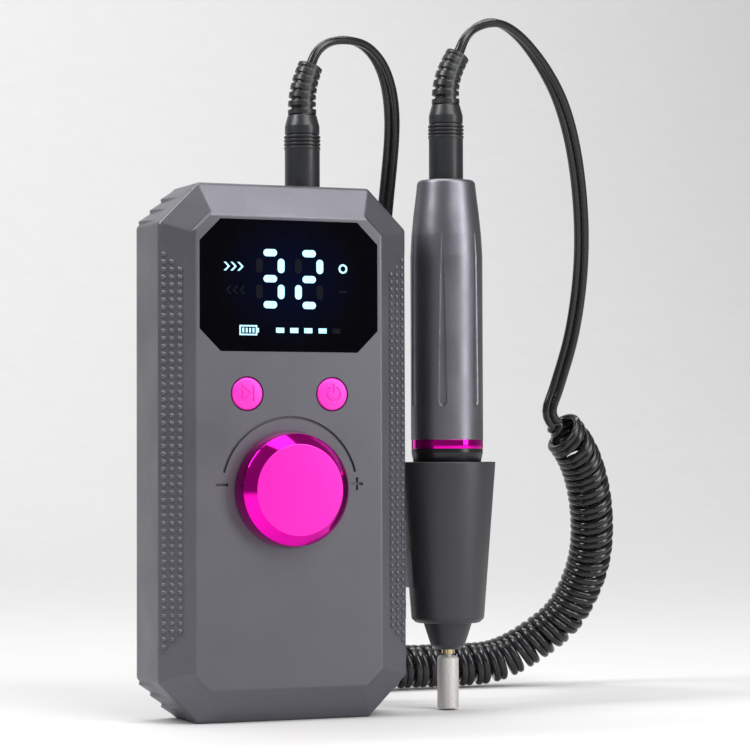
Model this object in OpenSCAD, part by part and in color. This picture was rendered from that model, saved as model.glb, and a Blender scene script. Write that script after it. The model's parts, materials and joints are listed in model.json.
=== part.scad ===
// Portable electric nail drill: a battery controller with a speed display, two buttons
// and a speed knob, a holder cup on its side, a pen handpiece standing in the cup, and
// the coiled twin lead that joins the two.
// The controller faces -Y and stands on its base. The origin is the centre of the base.

/* [Controller] */
// Width of the controller
case_w = 74; // [73:0.5:75]
// Height of the controller
case_h = 149.5; // [149:0.5:150]
// Depth of the straight side walls
case_d = 20; // [20:0.5:22]
// Size of the cut corners of the outline
corner_cut = 11.5; // [11:0.5:12.5]
// Width of the sloping bezel around the front face
bezel_w = 9.3; // [9:0.1:9.6]
// Height of the front face above the rim
bezel_h = 4.2; // [4:0.1:4.4]
// Wall thickness of the housing
wall = 2; // [1.8:0.1:2.2]

/* [Controls] */
// Radius of the speed knob at its foot
knob_r = 16.4; // [15.5:0.1:17]
// Height of the knob above the front face
knob_h = 7.9; // [7.6:0.1:9]
// Radius of each push button
button_r = 4.5; // [4.2:0.1:4.8]

/* [Handpiece] */
// Radius of the handpiece barrel
barrel_r = 10.5; // [10.45:0.05:10.7]
// Radius of the bit's working head
head_r = 3.1; // [2:0.1:3.3]
// Length of the bit's working head
head_l = 15; // [8:0.5:15]
// Radius of the bit's shank
shank_r = 1.175; // [1.15:0.005:1.18]

/* [Lead] */
// Width of the flat twin lead
lead_w = 4.6; // [4:0.1:4.8]
// Outer radius of the coiled stretch
coil_r = 7; // [6.5:0.1:7.1]

/* [Hidden] */
$fn = 48;

// Planes of the controller, front to back
y_rim = -case_d / 2;
y_face = y_rim - bezel_h;
y_inner = y_face + wall;
y_back = case_d / 2;
cover_t = 2;
y_cover = y_back - cover_t;
cover_lip = 1.3;
fit_gap = 0.1;

// Outline rule: moving a cut-corner outline in by d shortens each cut by this share of d
cut_share = 2 - sqrt(2);

// Display
lens_w = 52.9;
lens_z = [102.7, 139.2];
lens_cut = 6.1;
lens_t = 1.3;
digit_x = 5.8;
digit_z = 122.9;
segment_l = 4;
segment_w = 2;
segment_dx = 3.22;
segment_dz = 7.24;
glow_t = 0.35;
glow_out = 0.1;

// Buttons and knob
button_x = 12.65;
button_z = 90.9;
button_proud = 0.8;
button_gap = 0.35;
switch_h = 3.3;
knob_z = 64.3;
knob_gap = 0.4;
knob_side_h = 5;
knob_side_r = knob_r - 0.8;
knob_face_r = knob_r - 3.8;
knob_hub_r = 4.6;
knob_hub_gap = 2.6;
pot_shaft_r = 3;
scale_r = 20.1;
scale_w = 1;
scale_deep = 0.3;
mark_z = 65.8;

// Circuit board
board_y = -7.5;
board_t = 1.6;
board_back = board_y + board_t;
board_w = 51;
board_z = [56, 145];
board_cut = 8.5;
board_holes = [[-22.5, 58.5], [22.5, 58.5], [-22.5, 99], [22.5, 99]];

// Cover screws
cover_post_x = 29;
cover_post_z = 14;
post_r = 3;
screw_r = 1.2;

// Sockets in the top wall
jack_x = 9.4;
usb_x = -12;
usb_y = board_back + 1.6;
pin_r = 2.75;
pin_l = 9.7;
bore_gap = 0.05;
plug_r = 5.05;

// Holder and handpiece
cup_x = 54.4;
cup_z = [25.3, 71.8];
cup_r = [10.45, 14.05];
cup_edge = 1.2;
bracket_z = [27, 55];
rib_z = [35.7, 46.3];
rib_t = 2.2;
bracket_t = 2;
bracket_w = 10;
tip_z = 17.6;
neck_l = 2.1;
top_z = tip_z + 136;
bore_r = 9.3;

// Lead
lead_r = lead_w / 2;
relief_r = [4.1, 3.7];
controller_relief_route = [
    [9.4, 0, 170.7], [9.4, 0, 175], [10.1, 0, 180.3], [11.6, 0, 185.5]
];
handpiece_relief_route = [
    [54.4, 0, 175.8], [54.4, 0, 180.2], [55.9, 0, 186], [58.5, 0, 191]
];
controller_lead_route = [
    [11.7, 0, 185.8], [12.8, 0, 189.7], [15.5, 0.8, 192.2], [19.5, 1.8, 193.9],
    [25, 3, 194.5], [30, 5, 193.5], [34.5, 7, 190.5], [38, 9, 186], [40.5, 11, 181],
    [42, 13, 173], [42.5, 15, 164], [42.5, 17, 154], [42, 18.5, 140], [41.5, 19.5, 125],
    [41, 20, 110], [41, 20, 95], [41, 20, 80], [41, 20, 65], [41, 20.5, 50],
    [41, 21.5, 36], [40, 24, 23], [37, 29, 12], [31, 36, 5], [23, 41, 2.7], [13, 45, 2.5],
    [4, 50, 2.6], [0, 57, 3.2], [4, 63.5, 4.6], [12, 66, 6.4], [20, 66, 7.2], [27, 66, 7.2]
];
coil_route = [
    [27, 66, 7.2], [42, 66, 7.2], [56, 66, 7.2], [70, 66, 7.2], [80, 66, 7.2],
    [90, 65.5, 7.3], [99, 65, 8], [107, 64, 10.8], [114.5, 62, 15.5], [121.5, 59, 22],
    [125.5, 55, 31], [126.5, 50, 40.5], [125, 45, 50.5], [121.5, 40, 61.5],
    [116.5, 36, 71.5], [110, 32.5, 79], [106, 32, 83]
];
handpiece_lead_route = [
    [105.8, 32, 83.2], [104.3, 31.8, 84.7], [103.6, 31.6, 87.5], [104.8, 31.4, 91.5],
    [106.8, 30.6, 98], [109, 29, 107], [110.5, 27, 118],
    [111, 25, 129], [110, 22, 141.5], [106.5, 18, 160], [102.5, 15, 172], [96.5, 12, 183.5],
    [92, 10, 189], [86.5, 8, 194.5], [79, 5, 199.5], [72, 3, 201.5], [65, 1.5, 199.3],
    [60.3, 0, 195], [58.6, 0, 191.3]
];

// ---------------------------------------------------------------- shared shapes

// Extrudes a drawing of X and Z along Y from y0 to y1
module along_y(y0, y1) {
    translate([0, y1, 0]) rotate([90, 0, 0]) linear_extrude(y1 - y0) children();
}

// Case outline with cut corners, moved in by d
module outline(d = 0) {
    w = case_w / 2 - d;
    c = corner_cut - cut_share * d;
    polygon([
        [-w + c, d], [w - c, d], [w, d + c], [w, case_h - d - c],
        [w - c, case_h - d], [-w + c, case_h - d], [-w, case_h - d - c], [-w, d + c]
    ]);
}

// Lens outline grown by d
module lens_outline(d = 0) {
    w = lens_w / 2 + d;
    c = lens_cut + cut_share * d;
    polygon([
        [-w + c, lens_z[0] - d], [w - c, lens_z[0] - d], [w, lens_z[0] - d + c],
        [w, lens_z[1] + d - c], [w - c, lens_z[1] + d], [-w + c, lens_z[1] + d],
        [-w, lens_z[1] + d - c], [-w, lens_z[0] - d + c]
    ]);
}

// Cylinder along Y at x, z
module rod_y(x, z, r, y0, y1) {
    translate([x, y1, z]) rotate([90, 0, 0]) cylinder(r = r, h = y1 - y0);
}

// Cylinder along Z at x, y
module rod_z(x, y, r, z0, z1) {
    translate([x, y, z0]) cylinder(r = r, h = z1 - z0);
}

// Ring along Z on the handpiece axis; heights are counted from the nose tip
module ring(r_out, r_in, h0, h1) {
    translate([cup_x, 0, tip_z + h0]) difference() {
        cylinder(r = r_out, h = h1 - h0);
        translate([0, 0, -1]) cylinder(r = r_in, h = h1 - h0 + 2);
    }
}

// Turned shape on the handpiece axis; heights are counted from the nose tip
module turned(profile) {
    translate([cup_x, 0, tip_z]) rotate_extrude() polygon(profile);
}

// Flat bar with round ends, length along X
module bar(l, w) {
    square([l - w, w], center = true);
    for (s = [-1, 1]) translate([s * (l - w) / 2, 0]) circle(d = w, $fn = 24);
}

// ---------------------------------------------------------------- swept tubes

function unit(v) = v / norm(v);
function heading(p, i) = unit(p[min(i + 1, len(p) - 1)] - p[max(i - 1, 0)]);
function carried(u, t) = unit(u - (u * t) * t);

// Side vectors of the rings, carried along the route without twist
function sides(p) = [
    for (i = 0, u = carried([0, 1, 0.02], heading(p, 0)); i < len(p);
        i = i + 1, u = i < len(p) ? carried(u, heading(p, i)) : u) u
];

// Tube through the points p with the radius r[i] at point i and n sides
module swept(p, r, n) {
    u = sides(p);
    last = len(p) - 1;
    points = [
        for (i = [0 : last]) let (v = cross(heading(p, i), u[i])) for (k = [0 : n - 1])
            p[i] + r[i] * (cos(360 * k / n) * u[i] + sin(360 * k / n) * v)
    ];
    walls = [
        for (i = [0 : last - 1]) for (k = [0 : n - 1]) let (m = (k + 1) % n)
            [i * n + k, (i + 1) * n + k, (i + 1) * n + m, i * n + m]
    ];
    ends = [[for (k = [0 : n - 1]) k], [for (k = [n - 1 : -1 : 0]) last * n + k]];
    polyhedron(points, concat(walls, ends), convexity = 8);
}

function same(r, p) = [for (i = p) r];

// ---------------------------------------------------------------- controller housing

module front_shell() color("#5b5b62") {
    difference() {
        hull() {
            along_y(y_face, y_face + 0.1) outline(bezel_w);
            along_y(y_rim, y_back) outline();
        }
        hull() {
            along_y(y_inner, y_inner + 0.1) outline(bezel_w + 0.4);
            along_y(y_rim + wall, y_back + 1) outline(wall);
        }
        along_y(y_cover, y_back + 1) outline(cover_lip - fit_gap);
        along_y(y_face - 1, y_face + lens_t + fit_gap) lens_outline(fit_gap);
        along_y(y_face, y_inner + 1) translate([-23, 107.5]) square([46, 27]);
        for (s = [-1, 1]) rod_y(s * button_x, button_z, button_r + button_gap, y_face - 1, y_inner + 1);
        rod_y(0, knob_z, 3.7, y_face - 1, y_inner + 1);
        speed_scale();
        rod_z(jack_x, 0, 4.5, case_h - wall - 1, case_h + 1);
        translate([usb_x, usb_y, case_h - wall - 1]) linear_extrude(wall + 2) bar(9.4, 3.7);
        for (z = bracket_screw_z()) translate([case_w / 2 - wall - 1, 0, z])
            rotate([0, 90, 0]) cylinder(r = screw_r + fit_gap, h = wall + 2);
    }
    for (x = [-cover_post_x, cover_post_x]) for (z = [cover_post_z, case_h - cover_post_z])
        post(x, z, post_r, screw_r + fit_gap, y_rim - 1.5, y_cover - fit_gap);
    for (h = board_holes) post(h[0], h[1], 2.2, 1, y_inner - 0.5, board_y);
}

// Screw post with a blind hole, open to the back
module post(x, z, r, hole_r, y0, y1) {
    difference() {
        rod_y(x, z, r, y0, y1);
        rod_y(x, z, hole_r, y0 + 1, y1 + 1);
    }
}

// Arc over the knob, with the minus and plus marks at its ends
module speed_scale() {
    translate([0, y_face + scale_deep, knob_z]) rotate([90, 0, 0]) rotate([0, 0, 14])
        rotate_extrude(angle = 152) translate([scale_r - scale_w / 2, 0]) square([scale_w, 1.3]);
    along_y(y_face - 1, y_face + scale_deep) for (s = [-1, 1])
        translate([s * scale_r, mark_z]) square([3.6, 0.6], center = true);
    along_y(y_face - 1, y_face + scale_deep)
        translate([scale_r, mark_z]) square([0.6, 3.6], center = true);
}

module rear_cover() color("#55555c") difference() {
    along_y(y_cover, y_back) outline(cover_lip);
    for (x = [-cover_post_x, cover_post_x]) for (z = [cover_post_z, case_h - cover_post_z]) {
        rod_y(x, z, screw_r + fit_gap, y_cover - 1, y_back + 1);
        rod_y(x, z, 2.4, y_back - 1.2, y_back + 1);
    }
}

module case_screws() color("#2c2c30")
    for (x = [-cover_post_x, cover_post_x]) for (z = [cover_post_z, case_h - cover_post_z])
        difference() {
            union() {
                rod_y(x, z, 2.3, y_back - 1.2, y_back - 0.1);
                rod_y(x, z, screw_r, 1, y_back - 1.15);
            }
            along_y(y_back - 0.7, y_back + 1) translate([x, z]) {
                square([2.8, 0.6], center = true);
                square([0.6, 2.8], center = true);
            }
        }

// ---------------------------------------------------------------- display

module display_window() color("#08080c") difference() {
    along_y(y_face, y_face + lens_t) lens_outline();
    along_y(y_face - 1, y_face + glow_t - glow_out) { lit_marks(); dim_marks(); }
}

module display_panel() color("#e4e4de")
    along_y(y_face + lens_t, board_y) translate([-22.8, 107.7]) square([45.6, 26.6]);

// Upright or flat segments: [column, row, upright]; the digits read 3 and 2
lit_left = [[0, 1, 0], [0, 0, 0], [0, -1, 0], [1, 0.5, 1], [1, -0.5, 1]];
dim_left = [[-1, 0.5, 1], [-1, -0.5, 1]];
lit_right = [[0, 1, 0], [0, 0, 0], [0, -1, 0], [1, 0.5, 1], [-1, -0.5, 1]];
dim_right = [[-1, 0.5, 1], [1, -0.5, 1]];

module segments(x, list) {
    for (s = list) translate([x + s[0] * segment_dx, digit_z + s[1] * segment_dz])
        rotate(90 * s[2]) bar(segment_l, segment_w);
}

// Arrow head pointing along X
module chevron(h) polygon([
    [-h / 2, -h / 2], [-h / 4, -h / 2], [h / 4, 0], [-h / 4, h / 2], [-h / 2, h / 2], [0, 0]
]);

module lit_marks() {
    segments(-digit_x, lit_left);
    segments(digit_x, lit_right);
    for (i = [0 : 2]) translate([-18.3 + 2 * i, 126.1]) chevron(2.4);
    translate([16, 126.1]) difference() { circle(1.3); circle(0.8); }
    for (x = [-2.9, 1.3, 5.5, 9.8]) translate([x, 108.6]) square([2.4, 1.4], center = true);
    translate([-12.3, 108.5]) {
        difference() { square([5.2, 2.8], center = true); square([4.4, 2], center = true); }
        for (i = [-1.5 : 1.5]) translate([i, 0]) square([0.5, 1.3], center = true);
        translate([2.85, 0]) square([0.5, 1.2], center = true);
    }
}

module dim_marks() {
    segments(-digit_x, dim_left);
    segments(digit_x, dim_right);
    for (i = [0 : 2]) translate([-14.3 - 2 * i, 119.6]) mirror([1, 0]) chevron(2.4);
    translate([16, 119.6]) square([2.4, 0.5], center = true);
    translate([14, 108.6]) square([2.4, 1.4], center = true);
}

module display_lit() color("#bfe9ff") along_y(y_face - glow_out, y_face + glow_t - glow_out)
    lit_marks();

module display_dim() color("#1c1f28") along_y(y_face - glow_out / 2, y_face + glow_t - glow_out)
    dim_marks();

// ---------------------------------------------------------------- board and battery

module main_board() color("#1f5a36") difference() {
    along_y(board_y, board_back) polygon([
        [-board_w / 2, board_z[0]], [board_w / 2, board_z[0]],
        [board_w / 2, board_z[1] - board_cut], [board_w / 2 - board_cut, board_z[1]],
        [-board_w / 2 + board_cut, board_z[1]], [-board_w / 2, board_z[1] - board_cut]
    ]);
    for (h = board_holes) rod_y(h[0], h[1], 1.05, board_y - 1, board_back + 1);
    rod_y(0, knob_z, 3.7, board_y - 1, board_back + 1);
}

module board_screws() color("#b9b9b4") for (h = board_holes) {
    rod_y(h[0], h[1], 1.9, board_back, board_back + 1.3);
    rod_y(h[0], h[1], 0.95, y_inner + 1, board_back + 0.1);
}

// Driver and charge chips, battery socket, inductor and capacitors on the board's back
module board_parts() color("#26262a") {
    along_y(board_back, board_back + 1.2) {
        translate([-20, 104]) square([8, 8]);
        translate([6, 108]) square([6, 5]);
        translate([-14, 82]) square([7, 5]);
    }
    along_y(board_back, board_back + 3) {
        translate([-22, 118]) square([7, 7]);
        translate([-19.5, 60]) square([7, 4]);
    }
    for (x = [14, 22]) rod_y(x, 90, 3, board_back, board_back + 6);
}

module tact_switches() color("#3a3a3e") for (s = [-1, 1]) {
    along_y(board_y - switch_h + 0.5, board_y)
        translate([s * button_x, button_z]) square([6, 6], center = true);
    rod_y(s * button_x, button_z, 1.7, board_y - switch_h, board_y - switch_h + 0.6);
}

module speed_pot() color("#8f9296") difference() {
    union() {
        rod_y(0, knob_z, 8.5, board_back, board_back + 6.5);
        rod_y(0, knob_z, 3.5, y_face - 2.1, board_back + 0.1);
    }
    rod_y(0, knob_z, pot_shaft_r + bore_gap, y_face - 3, board_back + 5);
}

module pot_nut() color("#c9c9c4") difference() {
    rod_y(0, knob_z, 4.1, y_face - 1.7, y_face - 0.05);
    rod_y(0, knob_z, 3.55, y_face - 3, y_face + 1);
}

module pot_shaft() color("#d4d4d0")
    rod_y(0, knob_z, pot_shaft_r, y_face - knob_h + 1.6, board_back + 4.5);

module battery_cells() color("#3d6fb0") for (s = [-1, 1])
    along_y(y_rim + 2, y_rim + 14.5) translate([s * 12.9, 28.5]) square([25, 46], center = true);

module battery_pad() color("#d9d6cc")
    along_y(y_rim + 14.5, y_cover) translate([0, 28.5]) square([40, 30], center = true);

module battery_leads() color("#a02020") for (x = [-17.5, -14.5]) {
    route = [[x, 0.6, 51.6], [x, 0.8, 54], [x, -1.5, 56.6], [x, -4.4, 58], [x, -4.4, 59.9]];
    swept(route, same(0.6, route), 8);
}

// ---------------------------------------------------------------- sockets

module usb_c_port() color("#b4b6ba") translate([usb_x, usb_y, case_h - wall - 5.3]) {
    difference() {
        linear_extrude(wall + 5.2) bar(8.9, 3.2);
        translate([0, 0, 1]) linear_extrude(wall + 6) bar(8.3, 2.6);
    }
    linear_extrude(wall + 4) square([6.6, 0.7], center = true);
}

module controller_jack() color("#1d1d20") difference() {
    union() {
        translate([jack_x - 4.7, board_back, case_h - wall - 14]) cube([9.4, 10.6, 13.9]);
        rod_z(jack_x, 0, 4.4, case_h - wall - 0.2, case_h);
    }
    rod_z(jack_x, 0, pin_r + bore_gap, case_h - 11, case_h + 1);
}

// ---------------------------------------------------------------- knob and buttons

module speed_knob() color("#ff2fd0") translate([0, y_face, knob_z]) rotate([90, 0, 0])
    rotate_extrude($fn = 96) polygon([
        [pot_shaft_r + bore_gap, knob_hub_gap], [knob_hub_r, knob_hub_gap],
        [knob_hub_r, knob_side_h], [knob_side_r - 2, knob_side_h],
        [knob_r - 2.4, knob_gap], [knob_r, knob_gap], [knob_side_r, knob_side_h],
        [knob_face_r, knob_h], [0, knob_h], [0, knob_h - 1.5],
        [pot_shaft_r + bore_gap, knob_h - 1.5]
    ]);

// Domed cap with a retaining flange behind the front wall
module push_button(x) color("#ff4fd8") translate([x, y_inner, button_z]) rotate([90, 0, 0])
    rotate_extrude() polygon([
        [0, -0.95], [1.5, -0.95], [1.5, -0.7], [button_r + 0.8, -0.7], [button_r + 0.8, -0.1],
        [button_r, -0.1], [button_r, wall + 0.2], [button_r - 0.5, wall + button_proud - 0.2],
        [0, wall + button_proud]
    ]);

module direction_button() push_button(-button_x);
module power_button() push_button(button_x);

// ---------------------------------------------------------------- holder

function bracket_screw_z() = [31, 51];
function cup_r_at(z) = cup_r[0] + (cup_r[1] - cup_r[0]) * (z - cup_z[0]) / (cup_z[1] - cup_z[0]);

module holder_bracket() color("#5b5b62") difference() {
    union() {
        translate([case_w / 2, -bracket_w / 2, bracket_z[0]])
            cube([bracket_t, bracket_w, bracket_z[1] - bracket_z[0]]);
        translate([case_w / 2, -rib_t / 2, rib_z[0]])
            cube([cup_x - case_w / 2, rib_t, rib_z[1] - rib_z[0]]);
    }
    rod_cone(cup_x, cup_z[0] - 1, cup_r_at(cup_z[0] - 1), cup_z[1], cup_r[1]);
    for (z = bracket_screw_z()) translate([case_w / 2 - 1, 0, z]) rotate([0, 90, 0])
        cylinder(r = screw_r + fit_gap, h = bracket_t + 2);
}

module rod_cone(x, z0, r0, z1, r1) {
    translate([x, 0, z0]) cylinder(r1 = r0, r2 = r1, h = z1 - z0);
}

module holder_screws() color("#2c2c30") for (z = bracket_screw_z())
    translate([case_w / 2, 0, z]) rotate([0, 90, 0]) {
        translate([0, 0, bracket_t]) cylinder(r = 2.2, h = 1.3);
        translate([0, 0, -wall - 1.5]) cylinder(r = screw_r, h = bracket_t + wall + 1.6);
    }

module holder_cup() color("#2e2e33") translate([cup_x, 0, 0]) rotate_extrude($fn = 96)
    polygon([
        [7.15, cup_z[0]], [cup_r[0] - cup_edge, cup_z[0]],
        [cup_r_at(cup_z[0] + cup_edge), cup_z[0] + cup_edge],
        [cup_r[1], cup_z[1]], [11.6, cup_z[1]], [9.6, cup_z[0] + 24], [7.22, cup_z[0] + 1]
    ]);

// ---------------------------------------------------------------- handpiece, fixed parts

module handpiece_shell() color("#77777e") difference() {
    turned([
        [bore_r, 60.6], [barrel_r, 60.6], [barrel_r, 113.8], [barrel_r - 0.35, 120],
        [barrel_r - 1, 126.5], [barrel_r - 1.7, 132], [8.45, 135.3], [7.9, 136],
        [7.1, 136], [7.1, 130], [bore_r, 112]
    ]);
    for (a = [0 : 60 : 300]) flute(a);
}

// Long shallow flute in the barrel at angle a
module flute(a) translate([cup_x, 0, tip_z]) rotate([0, 0, a + 8])
    translate([barrel_r + 5.6, 0, 74]) {
        cylinder(r = 6, h = 42);
        for (z = [0, 42]) translate([0, 0, z]) sphere(r = 6);
    }

module handpiece_cap() color("#1a1a1d") ring(7, pin_r + bore_gap, 131.1, 136);
module handpiece_jack() color("#26262a") {
    ring(5.5, pin_r + bore_gap, 120, 128);
    ring(6.9, pin_r + bore_gap, 127, 131);
}

module motor_leads() color("#a02020") for (s = [-1, 1])
    rod_z(cup_x + s * 4, 0, 0.6, tip_z + 104, tip_z + 120);

module motor_case() color("#b8babd") {
    ring(9.2, 8.4, 66, 104);
    ring(8.5, 3.1, 66, 67);
}

module motor_magnets() color("#3a3a3d") difference() {
    ring(8.35, 6.7, 70, 96);
    translate([cup_x - 2.5, -10, tip_z + 69]) cube([5, 20, 28]);
}

module motor_end_cap() color("#e8e4d8") ring(8.3, 3.1, 101, 104);

module motor_brushes() color("#1c1c1c") for (s = [-1, 1])
    translate([cup_x + s * 5.4 - 2.6, -1.5, tip_z + 96.5]) cube([5.2, 3, 4.5]);

module motor_bearings() color("#c9cbce") {
    ring(3.05, 1.04, 65.5, 67.5);
    ring(3.05, 1.04, 101, 103.5);
}

// ---------------------------------------------------------------- handpiece, turning parts

module motor_rotor() color("#a8632e") ring(6.2, 1, 71, 95);
module motor_commutator() color("#c07a3a") ring(2.6, 1, 96.7, 100.6);
module motor_shaft() color("#d0d0cc") rod_z(cup_x, 0, 1, tip_z + 56, tip_z + 103);
module shaft_coupling() color("#8c8f94") turned([
    [0, 50], [2.3, 50], [2.3, 54.2], [3.2, 54.2], [3.2, 61], [1, 61], [1, 56], [0, 56]
]);

module spindle() color("#c4c6ca") ring(3, 2.35, 6, 54);

module collet() color("#c9b98a") difference() {
    turned([[shank_r + 0.025, -1.3], [1.95, -1.3], [1.95, 6], [2.3, 6], [2.3, 18], [shank_r + 0.025, 18]]);
    for (a = [0, 60, 120]) translate([cup_x, 0, tip_z - 2]) rotate([0, 0, a])
        translate([-4, -0.15, 0]) cube([8, 0.3, 12]);
}

// Compression spring behind the collet
module collet_spring() color("#9b9da1") {
    turns = 9;
    steps = 10;
    route = [
        for (i = [0 : turns * steps])
            [cup_x + 1.8 * cos(360 * i / steps), 1.8 * sin(360 * i / steps),
                tip_z + 18.4 + 31.2 * i / (turns * steps)]
    ];
    swept(route, same(0.35, route), 6);
}

// ---------------------------------------------------------------- handpiece, front end

module accent_ring() color("#ff2fd0") ring(barrel_r, 7.65, 58.1, 60.55);

module front_housing() color("#9a9ca1") turned([
    [5.55, 15], [6.6, 15], [6.6, 58.1], [7.6, 58.1], [7.6, 60.65], [9.25, 60.65],
    [9.25, 65.2], [5.55, 65.2]
]);

module twist_collar() color("#232327") turned([
    [6.65, 28.2], [8.6, 28.2], [9.85, 54.2], [barrel_r - 0.1, 56.8], [barrel_r - 0.1, 58],
    [6.65, 58]
]);

module lock_cam() color("#b8babd") ring(5.3, 3.1, 42, 46);

module nose_cone() color("#2b2b30") turned([
    [2.6, 0], [3.6, 0], [4.95, 1.2], [7.1, 7.7], [8.5, 28], [6.7, 28], [6.7, 15],
    [5.55, 15], [5.55, 7], [2.6, 5.2]
]);

module dust_seal() color("#151517") turned([[3.1, 7.2], [5.5, 7.2], [5.5, 8.9], [3.1, 8.9]]);

module spindle_bearings() color("#c9cbce") {
    ring(5.5, 3.04, 9, 13);
    ring(5.5, 3.04, 34, 38);
}

// ---------------------------------------------------------------- bit

module bit_shank() color("#cfd1d4") rod_z(cup_x, 0, shank_r, tip_z - neck_l, tip_z + 17);

module bit_head() color("#b9b8b6") turned([
    [0, -neck_l], [head_r - 0.5, -neck_l], [head_r, -neck_l - 0.5], [head_r, 0.2 - neck_l - head_l],
    [head_r - 0.2, -neck_l - head_l], [0, -neck_l - head_l]
]);

// ---------------------------------------------------------------- plugs and lead

// Overmould of a barrel plug standing on z at x
module overmould(x, z, seat) color("#1b1b1e") translate([x, 0, z]) rotate_extrude() polygon([
    [0, seat], [plug_r - 0.3, seat], [plug_r, seat + 0.3], [plug_r, 11.3], [plug_r + 0.15, 11.5],
    [plug_r + 0.15, 15.6], [plug_r - 0.1, 16], [plug_r - 0.1, 18], [relief_r[0], 21.2], [0, 21.2]
]);

module controller_plug() overmould(jack_x, case_h, 0.05);
module handpiece_plug() overmould(cup_x, top_z + 1, -0.9);

// Barrel contact below a plug whose underside is at z
module plug_pin(x, z) color("#c8c4b0") translate([x, 0, z - pin_l]) difference() {
    cylinder(r = pin_r, h = pin_l);
    translate([0, 0, -1]) cylinder(r = 1.15, h = 9);
}

module controller_plug_pin() plug_pin(jack_x, case_h + 0.05);
module handpiece_plug_pin() plug_pin(cup_x, top_z + 0.1);

module relief(route) color("#1b1b1e") swept(route, [
    for (i = [0 : len(route) - 1])
        relief_r[0] + (relief_r[1] - relief_r[0]) * i / (len(route) - 1)
], 12);

module controller_relief() relief(controller_relief_route);
module handpiece_relief() relief(handpiece_relief_route);

module cord_controller_lead() color("#151517")
    swept(controller_lead_route, same(lead_r, controller_lead_route), 8);
module cord_coil() color("#151517") swept(coil_route, same(coil_r, coil_route), 12);
module cord_handpiece_lead() color("#151517")
    swept(handpiece_lead_route, same(lead_r, handpiece_lead_route), 8);

front_shell();
rear_cover();
case_screws();
display_window();
display_panel();
display_lit();
display_dim();
main_board();
board_screws();
board_parts();
tact_switches();
speed_pot();
pot_nut();
pot_shaft();
speed_knob();
direction_button();
power_button();
usb_c_port();
controller_jack();
battery_cells();
battery_pad();
battery_leads();
holder_bracket();
holder_screws();
holder_cup();
handpiece_shell();
handpiece_cap();
handpiece_jack();
motor_leads();
motor_case();
motor_magnets();
motor_end_cap();
motor_brushes();
motor_bearings();
motor_rotor();
motor_commutator();
motor_shaft();
shaft_coupling();
accent_ring();
front_housing();
twist_collar();
lock_cam();
nose_cone();
dust_seal();
spindle_bearings();
spindle();
collet();
collet_spring();
bit_shank();
bit_head();
controller_plug();
controller_plug_pin();
controller_relief();
handpiece_plug();
handpiece_plug_pin();
handpiece_relief();
cord_controller_lead();
cord_coil();
cord_handpiece_lead();
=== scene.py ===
"""Visual model of a portable nail drill: housing, knob, holder, handpiece and coiled lead."""

import json
import math

import bmesh
import bpy
import numpy as np
from mathutils import Matrix, Vector
from mathutils.geometry import delaunay_2d_cdt


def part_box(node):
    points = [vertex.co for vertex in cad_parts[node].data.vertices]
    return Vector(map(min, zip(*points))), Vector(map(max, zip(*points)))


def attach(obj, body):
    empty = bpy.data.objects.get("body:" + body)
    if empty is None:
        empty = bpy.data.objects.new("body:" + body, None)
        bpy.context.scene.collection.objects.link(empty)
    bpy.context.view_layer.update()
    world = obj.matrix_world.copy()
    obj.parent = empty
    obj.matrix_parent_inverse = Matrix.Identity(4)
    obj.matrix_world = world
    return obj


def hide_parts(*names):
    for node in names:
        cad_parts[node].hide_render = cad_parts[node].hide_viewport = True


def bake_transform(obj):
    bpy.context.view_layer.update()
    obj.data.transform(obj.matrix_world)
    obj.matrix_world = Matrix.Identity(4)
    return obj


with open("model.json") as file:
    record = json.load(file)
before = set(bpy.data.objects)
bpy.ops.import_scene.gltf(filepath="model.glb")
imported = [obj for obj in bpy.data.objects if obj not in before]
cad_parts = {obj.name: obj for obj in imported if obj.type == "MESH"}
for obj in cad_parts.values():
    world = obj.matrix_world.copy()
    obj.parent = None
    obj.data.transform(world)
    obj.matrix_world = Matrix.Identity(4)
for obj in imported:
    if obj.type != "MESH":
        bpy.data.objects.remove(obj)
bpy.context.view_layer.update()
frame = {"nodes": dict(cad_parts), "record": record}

bl_info = {
    "name": "Nail drill",
    "version": (1, 0, 0),
    "blender": (4, 5, 0),
    "location": "View3D > Sidebar > Nail drill",
    "description": "Builds a portable nail drill round its packed frame",
    "category": "Add Mesh",
}

MM = 0.001


def corners(node):
    """Lowest and highest corner of a CAD node, in millimetres."""
    low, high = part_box(node)
    return np.array(low) / MM, np.array(high) / MM


# Places read from the frame, in millimetres
CASE_LOW, CASE_HIGH = corners("front_shell")
HALF_W = CASE_HIGH[0]
CASE_H = CASE_HIGH[2]
FACE_Y = CASE_LOW[1]
BACK_Y = CASE_HIGH[1]
COVER_Y = corners("rear_cover")[0][1]
LENS_LOW, LENS_HIGH = corners("display_window")
KNOB_LOW, KNOB_HIGH = corners("speed_knob")
KNOB_Z = (KNOB_LOW[2] + KNOB_HIGH[2]) / 2
KNOB_R = KNOB_HIGH[0]
CUP_LOW, CUP_HIGH = corners("holder_cup")
CUP_X = (CUP_LOW[0] + CUP_HIGH[0]) / 2
SHELL_LOW, SHELL_HIGH = corners("handpiece_shell")
BARREL_R = (SHELL_HIGH[0] - SHELL_LOW[0]) / 2
TIP_Z = corners("nose_cone")[0][2]
JACK_X = float(np.mean([c[0] for c in corners("controller_jack")]))
USB_LOW, USB_HIGH = corners("usb_c_port")

# Where the front rim meets the bezel
RIM_Y = -10.0

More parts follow.
